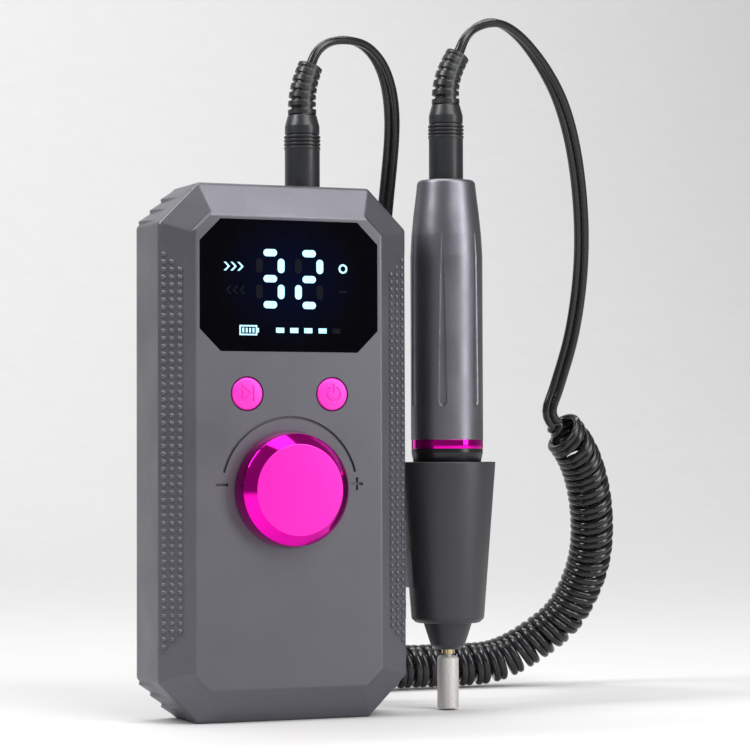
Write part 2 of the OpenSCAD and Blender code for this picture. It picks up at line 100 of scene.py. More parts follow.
# The lead's routes, in millimetres, as the frame's cord solids follow them
CONTROLLER_RELIEF = [(9.4, 0, 170.7), (9.4, 0, 175), (10.3, 0, 180.2), (12.1, 0, 185.3)]
HANDPIECE_RELIEF = [(54.4, 0, 175.8), (54.4, 0, 180.2), (55.9, 0, 186), (58.5, 0, 191)]
CONTROLLER_LEAD = [
    (12.0, 0, 185.0), (13.6, 0, 188.6), (16.6, 0.6, 191.4), (20.6, 1.6, 193),
    (26, 3, 193.5), (31, 5, 192.5), (35.5, 7, 189.5), (39, 9, 185), (41.3, 11, 180),
    (42.9, 13, 172.5), (43.4, 15, 164), (43.2, 17, 154), (42.4, 18.5, 140), (41.7, 19.5, 125),
    (41, 20, 110), (41, 20, 95), (41, 20, 80), (41, 20, 65), (41, 20.5, 50),
    (41, 21.5, 36), (40, 24, 23), (37, 29, 12), (31, 36, 5), (23, 41, 2.7), (13, 45, 2.5),
    (4, 50, 2.6), (0, 57, 3.2), (4, 63.5, 4.6), (12, 66, 6.4), (20, 66, 7.2), (27, 66, 7.2),
]
COIL = [
    (27, 66, 7.2), (42, 66, 7.2), (56, 66, 7.2), (70, 66, 7.2), (80, 66, 7.2),
    (90, 65.5, 7.3), (99, 65, 8), (107, 64, 10.8), (114.5, 62, 15.5), (121.5, 59, 22),
    (125.5, 55, 31), (126.5, 50, 40.5), (125, 45, 50.5), (121.5, 40, 61.5),
    (116.5, 36, 71.5), (110, 32.5, 79), (106, 32, 83),
]
HANDPIECE_LEAD = [
    (105.8, 32, 83.2), (104.3, 31.8, 84.7), (103.6, 31.6, 87.5), (104.8, 31.4, 91.5),
    (106.8, 30.6, 98), (109, 29, 107), (110.5, 27, 118), (111, 25, 129), (110, 22, 141.5),
    (106.5, 18, 160), (102.5, 15, 172), (96.5, 12, 183.5), (92, 10, 189), (86.5, 8, 194.5),
    (79, 5, 199.5), (72, 3, 201.5), (65, 1.5, 199.3), (60.3, 0, 195), (58.6, 0, 191.3),
]

# Where the flat lead's broad side faces, as (place on the route, way faced)
VIEWER = (-0.39, -0.92, 0)
LEAD_FACING = [
    ((12.0, 0, 185.0), (0.85, -0.5, 0)), ((26, 3, 193.5), (0, -0.25, 1)), ((43.4, 15, 164), VIEWER),
    ((41, 20.5, 50), VIEWER), ((31, 36, 5), (0, 0, 1)), ((27, 66, 7.2), (0, 0, 1)),
]
HANDPIECE_FACING = [
    ((109, 29, 107), VIEWER), ((106.5, 18, 160), VIEWER), ((72, 3, 201.5), (0, -0.3, 1)),
    ((58.6, 0, 191.3), (0.8, -0.6, 0)),
]


# ------------------------------------------------------------------ sizes and colours

def size(name, description, millimetres):
    """A length property whose default is given in millimetres."""
    return bpy.props.FloatProperty(
        name=name, description=description, default=millimetres * MM, unit="LENGTH",
        precision=5,
    )


def colour(name, description, red, green, blue):
    """A colour property in linear light."""
    return bpy.props.FloatVectorProperty(
        name=name, description=description, default=(red, green, blue), size=3,
        subtype="COLOR", min=0.0, max=1.0,
    )


class DrillSizes(bpy.types.PropertyGroup):
    corner_cut: size("Corner cut", "Size of the outline's cut corners", 11.5)
    bezel_width: size("Bezel width", "Width of the sloping bezel", 9.3)
    edge_round: size("Rim rounding", "Radius along the housing's front rim", 0.7)
    corner_round: size("Corner rounding", "Radius of the outline's corners", 1.7)
    pad_width: size("Pad width", "Width of the sloping pad at each cut corner", 7.5)
    pad_rise: size("Pad rise", "Height that the corner pad climbs", 3.6)
    louvre_pitch: size("Louvre pitch", "Spacing of the ribs on the cut corners", 4.6)
    louvre_height: size("Louvre height", "Height of the ribs at the back edge", 0.8)
    bump_pitch: size("Grip pitch", "Spacing of the grip's bumps", 2.113)
    bump_width: size("Grip bump width", "Diameter of one grip bump", 1.6)
    bump_height: size("Grip bump height", "Height of one grip bump", 0.58)
    scale_radius: size("Scale radius", "Radius of the arc over the knob", 20.1)
    scale_width: size("Scale width", "Width of the arc over the knob", 0.75)
    flute_depth: size("Flute depth", "Depth of the barrel's flutes", 0.32)
    flute_half: size("Flute half width", "Half the width of a flute at its lower end", 1.2)
    strand: size("Strand", "Diameter of one strand of the twin lead", 2.4)
    lead_width: size("Lead width", "Width of the flat twin lead", 4.6)
    coil_radius: size("Coil radius", "Radius of the coiled lead's centre line", 5.6)
    coil_pitch: size("Coil pitch", "Advance of one turn of the coil", 5.3)


class DrillColours(bpy.types.PropertyGroup):
    housing: colour("Housing", "Satin grey paint of the controller", 0.125, 0.122, 0.14)
    barrel: colour("Barrel", "Satin grey paint of the handpiece", 0.205, 0.2, 0.228)
    graphite: colour("Graphite", "Dark plastic of the cup and nose", 0.040, 0.040, 0.046)
    magenta: colour("Magenta", "Knob and accent ring", 0.94, 0.006, 0.50)
    button: colour("Button magenta", "Push buttons", 0.92, 0.03, 0.54)
    lead: colour("Lead", "Black jacket of the lead", 0.012, 0.012, 0.014)
    glow: colour("Glow", "Lit marks of the display", 0.42, 0.80, 1.0)


def millimetres(name):
    """Value of a size property, in millimetres."""
    return getattr(bpy.context.scene.drill_sizes, name) / MM


def tint(name):
    """Value of a colour property."""
    return tuple(getattr(bpy.context.scene.drill_colours, name))


# ------------------------------------------------------------------ mesh making

class Patches:
    """Patches of a surface, in millimetres, that are welded into one piece."""

    WELD = 0.002
    SLIVER = 0.0005

    def __init__(self):
        self.points, self.faces, self.count = [], [], 0

    def add(self, points, faces):
        points = np.asarray(points, float).reshape(-1, 3)
        self.points.append(points)
        self.faces += (np.asarray(faces, int) + self.count).tolist()
        self.count += len(points)

    def grid(self, rows, wrap_rows=False, wrap_columns=False, skip=None):
        """A grid of points rows x columns, each cell a face; skip marks the cells left out."""
        rows = np.asarray(rows, float)
        n, m = rows.shape[:2]
        i = np.arange(n if wrap_rows else n - 1)[:, None]
        j = np.arange(m if wrap_columns else m - 1)[None, :]
        a, b = i % n, (i + 1) % n
        c, d = j % m, (j + 1) % m
        cells = np.stack([a * m + c, a * m + d, b * m + d, b * m + c], -1)
        keep = cells.reshape(-1, 4) if skip is None else cells[~skip]
        self.add(rows, keep)

    def piece(self, name, sharp=38, outward=True):
        """One object of all the patches, welded, with faces outward and edges sharp past an angle."""
        mesh = bpy.data.meshes.new(name)
        mesh.from_pydata((np.vstack(self.points) * MM).tolist(), [], self.faces)
        work = bmesh.new()
        work.from_mesh(mesh)
        bmesh.ops.remove_doubles(work, verts=work.verts, dist=self.WELD * MM)
        bmesh.ops.dissolve_degenerate(work, edges=work.edges, dist=self.SLIVER * MM)
        if outward:
            bmesh.ops.recalc_face_normals(work, faces=work.faces)
        work.to_mesh(mesh)
        work.free()
        mesh.polygons.foreach_set("use_smooth", np.ones(len(mesh.polygons), bool))
        mesh.set_sharp_from_angle(angle=math.radians(sharp))
        made = bpy.data.objects.new(name, mesh)
        bpy.context.scene.collection.objects.link(made)
        return made


def flat_region(outer, holes):
    """Triangles of a flat area inside the loop outer and outside the loops holes."""
    loops = [np.asarray(loop, float) for loop in (outer, *holes)]
    points = np.vstack(loops)
    edges, start = [], 0
    for loop in loops:
        k = np.arange(len(loop))
        edges += np.stack([start + k, start + (k + 1) % len(loop)], -1).tolist()
        start += len(loop)
    found = delaunay_2d_cdt([Vector(p) for p in points], edges, [], 0, 1e-6)
    flat = np.array([tuple(v) for v in found[0]])
    tris = np.array(found[2])
    middle = flat[tris].mean(1)
    keep = inside(middle, loops[0])
    for loop in loops[1:]:
        keep &= ~inside(middle, loop)
    return flat, tris[keep]


def circle(x, y, r, n):
    """n points round a circle."""
    turn = np.arange(n) * 2 * math.pi / n
    return np.stack([x + r * np.cos(turn), y + r * np.sin(turn)], -1)


def inside(points, loop):
    """Whether each point lies in the loop, by the count of its edges that a ray to +X crosses."""
    a, b = loop, np.roll(loop, -1, axis=0)
    y = points[:, 1:2]
    crosses = (a[:, 1] > y) != (b[:, 1] > y)
    rise = np.where(b[:, 1] == a[:, 1], 1.0, b[:, 1] - a[:, 1])
    x = a[:, 0] + (y - a[:, 1]) / rise * (b[:, 0] - a[:, 0])
    return (crosses & (points[:, 0:1] < x)).sum(1) % 2 == 1


def step(x, low, high):
    """0 below low, 1 above high, and a smooth rise between them."""
    t = np.clip((x - low) / (high - low), 0, 1)
    return t * t * (3 - 2 * t)


def lower_of(a, b, soft):
    """The lower of two heights, rounded off where they are within soft of each other."""
    return np.minimum(a, b) - np.maximum(soft - np.abs(a - b), 0) ** 2 / (4 * soft)


def upper_of(a, b, soft):
    """The higher of two heights, rounded off where they are within soft of each other."""
    return -lower_of(-a, -b, soft)


def rounded(profile, closed, points=5):
    """A profile of (radius, height, rounding) rows with its corners made arcs tangent to both sides."""
    profile = np.asarray(profile, float)
    n = len(profile)
    out = []
    for i, (r, h, rounding) in enumerate(profile):
        if rounding <= 0 or (not closed and i in (0, n - 1)):
            out.append([[r, h]])
            continue
        here = np.array([r, h])
        before, after = profile[i - 1, :2] - here, profile[(i + 1) % n, :2] - here
        a, b = before / np.linalg.norm(before), after / np.linalg.norm(after)
        half = math.acos(np.clip(a @ b, -1, 1)) / 2
        reach = min(rounding / math.tan(half), 0.49 * np.linalg.norm(before),
                    0.49 * np.linalg.norm(after))
        radius = reach * math.tan(half)
        middle = here + (a + b) / np.linalg.norm(a + b) * radius / math.sin(half)
        start, end = here + a * reach - middle, here + b * reach - middle
        t = np.linspace(0, 1, points)[:, None]
        sweep = math.pi - 2 * half
        arc = (np.sin((1 - t) * sweep) * start + np.sin(t * sweep) * end) / math.sin(sweep)
        out.append(middle + arc)
    return np.vstack(out)


def revolved(profile, steps):
    """Grid of a profile of radii and heights carried round the Z axis."""
    angle = np.arange(steps) * 2 * math.pi / steps
    r, h = np.asarray(profile).T
    x = r[:, None] * np.cos(angle)
    y = r[:, None] * np.sin(angle)
    return np.stack([x, y, h[:, None] + 0 * angle], -1)


def turned(name, profile, closed, place, steps=96, toward_front=False, sharp=38):
    """A turned piece: the rounded profile carried round Z, or round -Y for one on the front face."""
    rows = revolved(rounded(profile, closed), steps)
    if toward_front:
        rows = np.stack([rows[..., 0], -rows[..., 2], rows[..., 1]], -1)
    patches = Patches()
    patches.grid(rows + np.asarray(place, float), wrap_rows=closed, wrap_columns=True)
    return patches.piece(name, sharp)


def swept(name, rows, path, sharp):
    """A sleeve of rows, one for each point of a path, with both ends closed onto the path."""
    patches = Patches()
    patches.grid(rows, wrap_columns=True)
    for end in (0, -1):
        tip = np.repeat(path[end][None], rows.shape[1], 0)
        patches.grid(np.stack([rows[end], tip]), wrap_columns=True)
    return patches.piece(name, sharp)


def settle(piece, body, slot, *nodes):
    """Gives a piece its slot's material and its body, and hides the CAD nodes that it stands for."""
    piece.data.materials.clear()
    piece.data.materials.append(make_material(slot))
    if nodes:
        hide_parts(*nodes)
    if body:
        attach(piece, body)
    return piece


# ------------------------------------------------------------------ paths

# Spacing of the points along the lead's routes, points in a turn of the coil, and the part of a
# turn over which the coil's radius grows
LEAD_SPACING = 1.6
COIL_SPACING = 0.15
TURN_POINTS = 34
TAKE_OVER = 0.7


def smooth_path(points, spacing):
    """Points about spacing apart along the natural cubic curve through the given ones.

    The curve's second derivatives solve the usual tridiagonal system over chord length."""
    p = np.asarray(points, float)
    h = np.linalg.norm(np.diff(p, axis=0), axis=1)
    n = len(p)
    system = np.eye(n)
    right = np.zeros((n, 3))
    k = np.arange(1, n - 1)
    system[k, k - 1] = h[:-1]
    system[k, k] = 2 * (h[:-1] + h[1:])
    system[k, k + 1] = h[1:]
    slopes = np.diff(p, axis=0) / h[:, None]
    right[1:-1] = 6 * np.diff(slopes, axis=0)
    bend = np.linalg.solve(system, right)
    at = np.concatenate([[0], np.cumsum(h)])
    s = np.linspace(0, at[-1], max(2, int(round(at[-1] / spacing)) + 1))
    i = np.clip(np.searchsorted(at, s, side="right") - 1, 0, n - 2)
    a = ((at[i + 1] - s) / h[i])[:, None]
    b = ((s - at[i]) / h[i])[:, None]
    lift = ((a**3 - a) * bend[i] + (b**3 - b) * bend[i + 1]) * (h[i] ** 2)[:, None] / 6
    return a * p[i] + b * p[i + 1] + lift


def headings(path):
    """Unit direction of a path at each of its points."""
    d = np.gradient(path, axis=0)
    return d / np.linalg.norm(d, axis=1, keepdims=True)


def carried(path, first):
    """Unit side vectors along a path that turn as little as they can, starting near first."""
    t = headings(path)
    side = np.empty_like(path)
    u = np.asarray(first, float)
    for i, direction in enumerate(t):
        u = u - (u @ direction) * direction
        u = u / np.linalg.norm(u)
        side[i] = u
    return side


def length_of(path):
    """Length of a path."""
    return float(np.linalg.norm(np.diff(path, axis=0), axis=1).sum())


def twin_profile(strand, width, points=12):
    """Outline of two round strands side by side, as (across, through) offsets.

    Each strand gives the arc of its circle that lies outside the other one."""
    r = strand / 2
    reach = width / 2 - r
    turn = np.linspace(-1, 1, points) * (math.pi - math.acos(reach / r))
    arc = np.stack([reach + r * np.cos(turn), r * np.sin(turn)], -1)
    return np.vstack([arc, -arc])


def faced(path, keys):
    """Thickness vectors along a path that face given ways at given places, turning evenly between.

    keys pairs a place with the way faced there; each is reached by a smooth turn about the path
    from a frame that itself turns as little as it can. Half turns are left out, as a lead looks
    the same from both of its flat sides."""
    t = headings(path)
    u = carried(path, keys[0][1])
    v = np.cross(t, u)
    share = np.linspace(0, 1, len(path))
    spots, angles = [], []
    for place, way in keys:
        i = int(np.argmin(np.linalg.norm(path - np.asarray(place, float), axis=1)))
        angle = math.atan2(np.dot(way, v[i]), np.dot(way, u[i]))
        if angles:
            angle += math.pi * round((angles[-1] - angle) / math.pi)
        spots.append(share[i])
        angles.append(angle)
    along = sum(step(share, a, b) for a, b in zip(spots, spots[1:]))
    angle = np.interp(along, np.arange(len(angles)), angles)[:, None]
    return np.cos(angle) * u + np.sin(angle) * v


def lead_piece(name, path, through):
    """A flat twin lead: the twin outline carried along the path, with its thickness along through."""
    profile = twin_profile(millimetres("strand"), millimetres("lead_width"))
    across = np.cross(headings(path), through)
    rows = (
        path[:, None, :]
        + profile[None, :, 0:1] * across[:, None, :]
        + profile[None, :, 1:2] * through[:, None, :]
    )
    return swept(name, rows, path, 60)


# ------------------------------------------------------------------ materials

SLOW_GRAIN = 60
GRAIN_HEIGHT = 0.0001


def nodes_of(name):
    """A new node material and its parts: tree, shader and a link function."""
    material = bpy.data.materials.new(name)
    material.use_nodes = True
    tree = material.node_tree
    return material, tree, tree.nodes["Principled BSDF"], tree.links.new


def mixed(tree, factor, low, high):
    """Colour mix node between two colours by a factor socket."""
    mix = tree.nodes.new("ShaderNodeMix")
    mix.data_type = "RGBA"
    mix.inputs["A"].default_value = (*low, 1)
    mix.inputs["B"].default_value = (*high, 1)
    tree.links.new(factor, mix.inputs["Factor"])
    return mix.outputs["Result"]


def ranged(tree, value, low, high, to_low, to_high):
    """Map Range node from low..high to to_low..to_high."""
    node = tree.nodes.new("ShaderNodeMapRange")
    ends = {"From Min": low, "From Max": high, "To Min": to_low, "To Max": to_high}
    for key, number in ends.items():
        node.inputs[key].default_value = number
    tree.links.new(value, node.inputs["Value"])
    return node.outputs["Result"]


def noise(tree, scale, detail=3.0):
    """Noise on Object coordinates; scale counts patches per metre."""
    place = tree.nodes.new("ShaderNodeTexCoord")
    grain = tree.nodes.new("ShaderNodeTexNoise")
    grain.inputs["Scale"].default_value = scale
    grain.inputs["Detail"].default_value = detail
    tree.links.new(place.outputs["Object"], grain.inputs["Vector"])
    return grain.outputs["Fac"]


def bumped(tree, shader, height, strength, distance):
    """Feeds a height into the shader's normal."""
    bump = tree.nodes.new("ShaderNodeBump")
    bump.inputs["Strength"].default_value = strength
    bump.inputs["Distance"].default_value = distance
    tree.links.new(height, bump.inputs["Height"])
    tree.links.new(bump.outputs["Normal"], shader.inputs["Normal"])


def grained(name, base, metallic, roughness, grain, depth, spread=0.12, wear=0.06, shine=0.5):
    """A finish with a fine grain in colour, roughness and height, and a slow unevenness over it.

    spread is the grain's share of the colour, wear the swing of the roughness."""
    material, tree, shader, link = nodes_of(name)
    fine = noise(tree, grain, 2.0)
    slow = noise(tree, SLOW_GRAIN)
    dark = tuple(c * (1 - spread) for c in base)
    light = tuple(min(1.0, c * (1 + spread)) for c in base)
    link(mixed(tree, ranged(tree, fine, 0.3, 0.7, 0, 1), dark, light), shader.inputs["Base Color"])
    worn = ranged(tree, slow, 0.3, 0.7, roughness - wear, roughness + wear)
    link(worn, shader.inputs["Roughness"])
    shader.inputs["Metallic"].default_value = metallic
    shader.inputs["Specular IOR Level"].default_value = shine
    bumped(tree, shader, fine, depth, GRAIN_HEIGHT)
    return material


def glowing(name, base, strength):
    """A lit mark: pale colour that gives light, a little brighter in patches."""
    material, tree, shader, link = nodes_of(name)
    patchy = noise(tree, 900, 1.0)
    link(mixed(tree, patchy, tuple(c * 0.9 for c in base), base), shader.inputs["Emission Color"])
    link(mixed(tree, patchy, tuple(c * 0.3 for c in base), base), shader.inputs["Base Color"])
    shader.inputs["Emission Strength"].default_value = strength
    shader.inputs["Roughness"].default_value = 0.5
    return material


HALO_Z = 122.9
HALO_SCALE = (62, 0, 70)


def lens_finish():
    """Black gloss window with a dim blue glow round the digits that falls off with distance."""
    material, tree, shader, link = nodes_of("lens_black")
    place = tree.nodes.new("ShaderNodeTexCoord")
    turn = tree.nodes.new("ShaderNodeMapping")
    turn.inputs["Location"].default_value = (0, 0, -HALO_Z * MM * HALO_SCALE[2])
    turn.inputs["Scale"].default_value = HALO_SCALE
    span = tree.nodes.new("ShaderNodeVectorMath")
    span.operation = "LENGTH"
    link(place.outputs["Object"], turn.inputs["Vector"])
    link(turn.outputs["Vector"], span.inputs[0])
    halo = ranged(tree, span.outputs["Value"], 0.25, 1.35, 1, 0)
    link(mixed(tree, halo, (0.0, 0.0, 0.0), (0.0, 0.012, 0.11)), shader.inputs["Emission Color"])
    shader.inputs["Emission Strength"].default_value = 0.13
    tone = noise(tree, 300, 1.0)
    black = mixed(tree, tone, (0.001, 0.001, 0.002), (0.002, 0.002, 0.003))
    link(black, shader.inputs["Base Color"])
    shader.inputs["Roughness"].default_value = 0.1
    shader.inputs["Specular IOR Level"].default_value = 0.06
    return material


FINISHES = {
    # slot: (linear colour or name of a colour property, metallic, roughness, grain per metre,
    # grain depth)
    "floor_pale": ((0.64, 0.64, 0.64), 0.0, 0.8, 40, 0.0),
    "housing": ("housing", 0.7, 0.4, 5200, 0.12),
    "barrel_grey": ("barrel", 0.94, 0.38, 5200, 0.14),
    "cup_graphite": ("graphite", 0.15, 0.42, 5200, 0.2),
    "nose_graphite": ("graphite", 0.3, 0.4, 5200, 0.1),
    "collar_black": ((0.012, 0.012, 0.014), 0.2, 0.3, 4000, 0.05),
    "magenta_gloss": ("magenta", 1.0, 0.09, 3000, 0.005),
    "magenta_face": ("magenta", 0.25, 0.36, 3000, 0.03),
    "magenta_satin": ("button", 0.15, 0.36, 3000, 0.04),
    "overmould": ((0.014, 0.015, 0.017), 0.0, 0.36, 2600, 0.2),
    "lead": ("lead", 0.0, 0.2, 1800, 0.03),
    "cover_plastic": ((0.095, 0.093, 0.105), 0.0, 0.55, 3000, 0.25),
    "display_body": ((0.76, 0.76, 0.72), 0.0, 0.5, 1500, 0.1),
    "glow_dim": ((0.005, 0.006, 0.011), 0.0, 0.6, 1500, 0.02),
    "circuit_board": ((0.010, 0.085, 0.030), 0.0, 0.35, 900, 0.1),
    "component_black": ((0.015, 0.015, 0.017), 0.0, 0.45, 2500, 0.1),
    "screw_dark": ((0.035, 0.035, 0.040), 0.9, 0.35, 2500, 0.05),
    "screw_plated": ((0.55, 0.54, 0.50), 1.0, 0.3, 2500, 0.05),
    "steel": ((0.55, 0.55, 0.57), 1.0, 0.28, 3500, 0.05),
    "bearing_steel": ((0.62, 0.63, 0.65), 1.0, 0.12, 2500, 0.02),
    "battery_wrap": ((0.03, 0.14, 0.40), 0.0, 0.3, 700, 0.1),
    "foam": ((0.65, 0.62, 0.52), 0.0, 0.9, 1800, 0.6),
    "wire_red": ((0.38, 0.01, 0.01), 0.0, 0.4, 2500, 0.05),
    "cap_black": ((0.008, 0.008, 0.010), 0.0, 0.45, 3000, 0.1),
    "magnet": ((0.04, 0.04, 0.042), 0.4, 0.6, 2500, 0.3),
    "nylon": ((0.80, 0.76, 0.66), 0.0, 0.5, 1500, 0.1),
    "carbon": ((0.010, 0.010, 0.010), 0.1, 0.6, 3500, 0.3),
    "copper": ((0.58, 0.20, 0.06), 1.0, 0.3, 2500, 0.3),
    "aluminium": ((0.50, 0.50, 0.53), 1.0, 0.35, 3000, 0.1),
    "seal_rubber": ((0.010, 0.010, 0.011), 0.0, 0.65, 3000, 0.2),
    "collet_steel": ((0.62, 0.50, 0.30), 1.0, 0.22, 3000, 0.05),
    "bit_steel": ((0.62, 0.60, 0.58), 0.6, 0.5, 2300, 0.9),
    "contact": ((0.62, 0.60, 0.50), 1.0, 0.2, 2500, 0.03),
}


# Where a finish differs from the usual spread, wear or shine
OPTIONS = {
    "floor_pale": {"spread": 0.01},
    "housing": {"spread": 0.16},
    "barrel_grey": {"spread": 0.14},
    "cup_graphite": {"spread": 0.2},
    "nose_graphite": {"spread": 0.15},
    "magenta_gloss": {"spread": 0.03, "wear": 0.02},
    "magenta_face": {"spread": 0.03, "wear": 0.03},
    "magenta_satin": {"spread": 0.04, "wear": 0.04},
    "overmould": {"spread": 0.25},
    "lead": {"spread": 0.2, "wear": 0.03, "shine": 0.45},
    "glow_dim": {"shine": 0.05},
}
GLOW_STRENGTH = 1.05
MADE = {}


def make_material(slot):
    """Finish of a slot, made the first time that it is asked for."""
    if slot not in MADE:
        MADE[slot] = new_material(slot)
    return MADE[slot]


def new_material(slot):
    """The window, the lit marks, or the slot's row of the table of finishes."""
    if slot == "lens_black":
        return lens_finish()
    if slot == "glow_lit":
        return glowing(slot, tint("glow"), GLOW_STRENGTH)
    base, *rest = FINISHES[slot]
    base = tint(base) if isinstance(base, str) else base
    return grained(slot, base, *rest, **OPTIONS.get(slot, {}))


# ------------------------------------------------------------------ operators

class Making(bpy.types.Operator):
    """Shared options of the making operators"""

    bl_idname = "drill.making"
    bl_label = "Making"
    bl_options = {"REGISTER", "UNDO"}

    def execute(self, context):
        """Makes what the operator is named for, and raises if it can't."""
        self.make()
        return {"FINISHED"}

    def make(self):
        """Nothing by itself."""


class MakeStage(Making):
    """Lays the pale floor with its curved backdrop, the soft lights and the camera"""

    bl_idname = "drill.stage"
    bl_label = "Stage"

    # the camera stands to the left of the front, a little above the floor, and looks slightly up
    CAMERA = (-0.2699, -0.7123, 0.0743)
    YAW, PITCH, ROLL = 22.95, 1.67, -0.18
    FOCAL_LENGTH, SENSOR = 129.1, 36.0
    # the floor's near edge, where its bend begins, the bend's radius, and half its width
    NEAR, REACH, BEND, HALF = -2.5, 1.4, 1.6, 5.0
    WALL_RISE = 3.0
    WORLD = 0.2
    LIGHTS = (
        # name, place, aim, width, height, watts
        ("key", (0.28, -0.8, 0.82), (0.0, 0, 0.13), 0.7, 0.6, 7.4),
        ("side", (-0.42, -0.05, 0.5), (0.0, 0, 0.15), 0.15, 0.3, 2.3),
        ("strip", (0.68, -0.82, 0.34), (0.03, 0, 0.1), 0.3, 0.6, 3.6),
        ("top", (-0.1, -0.1, 1.0), (0, 0, 0.1), 0.7, 0.4, 3.4),
        ("backdrop", (0.0, 1.0, 2.6), (0, 2.8, 0.9), 3.0, 0.6, 88.0),
    )

    def make(self):
        scene = bpy.context.scene
        scene.view_settings.view_transform = "Standard"
        self.camera(scene)
        self.floor()
        world = bpy.data.worlds.new("studio")
        world.use_nodes = True
        sky = world.node_tree.nodes["Background"]
        sky.inputs["Color"].default_value = (1, 1, 1, 1)
        sky.inputs["Strength"].default_value = self.WORLD
        scene.world = world
        for row in self.LIGHTS:
            self.light(*row)

    def camera(self, scene):
        """A long lens at its place, turned by yaw and pitch and then rolled about its own axis."""
        yaw, pitch, roll = (math.radians(angle) for angle in (self.YAW, self.PITCH, self.ROLL))
        level = math.cos(pitch)
        ahead = Vector((math.sin(yaw) * level, math.cos(yaw) * level, math.sin(pitch)))
        lens = bpy.data.cameras.new("camera")
        lens.lens, lens.sensor_width = self.FOCAL_LENGTH, self.SENSOR
        camera = bpy.data.objects.new("camera", lens)
        camera.location = self.CAMERA
        camera.rotation_mode = "QUATERNION"
        facing = ahead.to_track_quat("-Z", "Y").to_matrix()
        camera.rotation_quaternion = (facing @ Matrix.Rotation(roll, 3, "Z")).to_quaternion()
        scene.collection.objects.link(camera)
        scene.camera = camera

    def floor(self):
        """A flat sheet whose far side turns up in a quarter circle and goes on as a wall."""
        turn = np.linspace(0, math.pi / 2, 14)
        far = self.REACH + self.BEND
        along = np.concatenate([[self.NEAR, 0.5], self.REACH + self.BEND * np.sin(turn), [far]])
        height = np.concatenate([[0, 0], self.BEND * (1 - np.cos(turn)), [self.BEND + self.WALL_RISE]])
        across, along = np.meshgrid([-self.HALF, self.HALF], along)
        height = np.repeat(height[:, None], 2, 1)
        patches = Patches()
        patches.grid(np.stack([across, along, height], -1) / MM)
        floor = patches.piece("floor", sharp=60, outward=False)
        floor.data.materials.append(make_material("floor_pale"))

    def light(self, name, place, aim, width, height, power):
        """A rectangular lamp at its place that faces its aim."""
        lamp = bpy.data.lights.new(name, "AREA")
        lamp.shape, lamp.size, lamp.size_y, lamp.energy = "RECTANGLE", width, height, power
        made = bpy.data.objects.new(name, lamp)
        made.location = place
        made.rotation_mode = "QUATERNION"
        made.rotation_quaternion = (Vector(aim) - Vector(place)).to_track_quat("-Z", "Y")
        bpy.context.scene.collection.objects.link(made)


class MakeLead(Making):
    """Makes the lead: flat twin stretches at both plugs and the coil between them"""

    bl_idname = "drill.lead"
    bl_label = "Lead"

    def make(self):
        width = millimetres("lead_width")
        first = smooth_path(CONTROLLER_LEAD, LEAD_SPACING)
        first_through = faced(first, LEAD_FACING)
        controller = lead_piece("controller_lead", first, first_through)
        path, through = self.helix(first_through[-1])
        coil = lead_piece("coiled_lead", path, through)
        last = smooth_path(HANDPIECE_LEAD, LEAD_SPACING)
        keys = [(last[0], through[-1]), *HANDPIECE_FACING]
        handpiece = lead_piece("handpiece_lead", last, faced(last, keys))
        places = (
            # piece, route, bodies and places at its two ends, CAD node, end, plug; only the piece and
            # its CAD node are used
            (controller, first, "controller", "controller_plug", (0.041, 0.02, 0.06),
             (0.041, 0.02, 0.17), "cord_controller_lead", "object", "controller_plug"),
            (coil, path, "controller", "handpiece", (0.1, 0.05, 0.015),
             (0.1, 0.05, 0.082), "cord_coil", "object", None),
            (handpiece, last, "handpiece", "handpiece_plug", (0.097, 0, 0.19),
             (0.062, 0, 0.19), "cord_handpiece_lead", "plug", "handpiece_plug"),
        )
        for piece, line, a, b, start, end, node, far_end, plug in places:
            settle(piece, None, "lead", node)
            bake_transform(piece)

    def helix(self, first_through):
        """The coil's path and thickness vectors: a turning radius round a curved axis.

        The radius grows from nothing over the first part of a turn and shrinks over the last, so
        that the coil takes over from the flat stretches on its axis."""
        radius, pitch = millimetres("coil_radius"), millimetres("coil_pitch")
        axis = smooth_path(COIL, COIL_SPACING)
        u = carried(axis, (0, 0, 1))
        t = headings(axis)
        v = np.cross(t, u)
        begin = math.atan2(first_through @ v[0], first_through @ u[0])
        facing = np.array(VIEWER)
        finish = math.atan2(facing @ v[-1], facing @ u[-1])
        along = length_of(axis) / pitch
        turns = math.floor(along) + ((finish - begin) / (2 * math.pi)) % 1
        count = int(turns * TURN_POINTS)
        share = np.linspace(0, 1, count)
        at = share * (len(axis) - 1)
        i = np.clip(at.astype(int), 0, len(axis) - 2)
        f = (at - i)[:, None]
        centre = axis[i] * (1 - f) + axis[i + 1] * f
        uu, vv = u[i] * (1 - f) + u[i + 1] * f, v[i] * (1 - f) + v[i + 1] * f
        angle = begin + 2 * math.pi * turns * share
        out = np.cos(angle)[:, None] * uu + np.sin(angle)[:, None] * vv
        done = turns * share
        grow = step(done, 0, TAKE_OVER) * step(turns - done, 0, TAKE_OVER)
        path = centre + out * (radius * grow)[:, None]
        t = headings(path)
        through = out - (out * t).sum(1, keepdims=True) * t
        through /= np.linalg.norm(through, axis=1, keepdims=True)
        return path, through


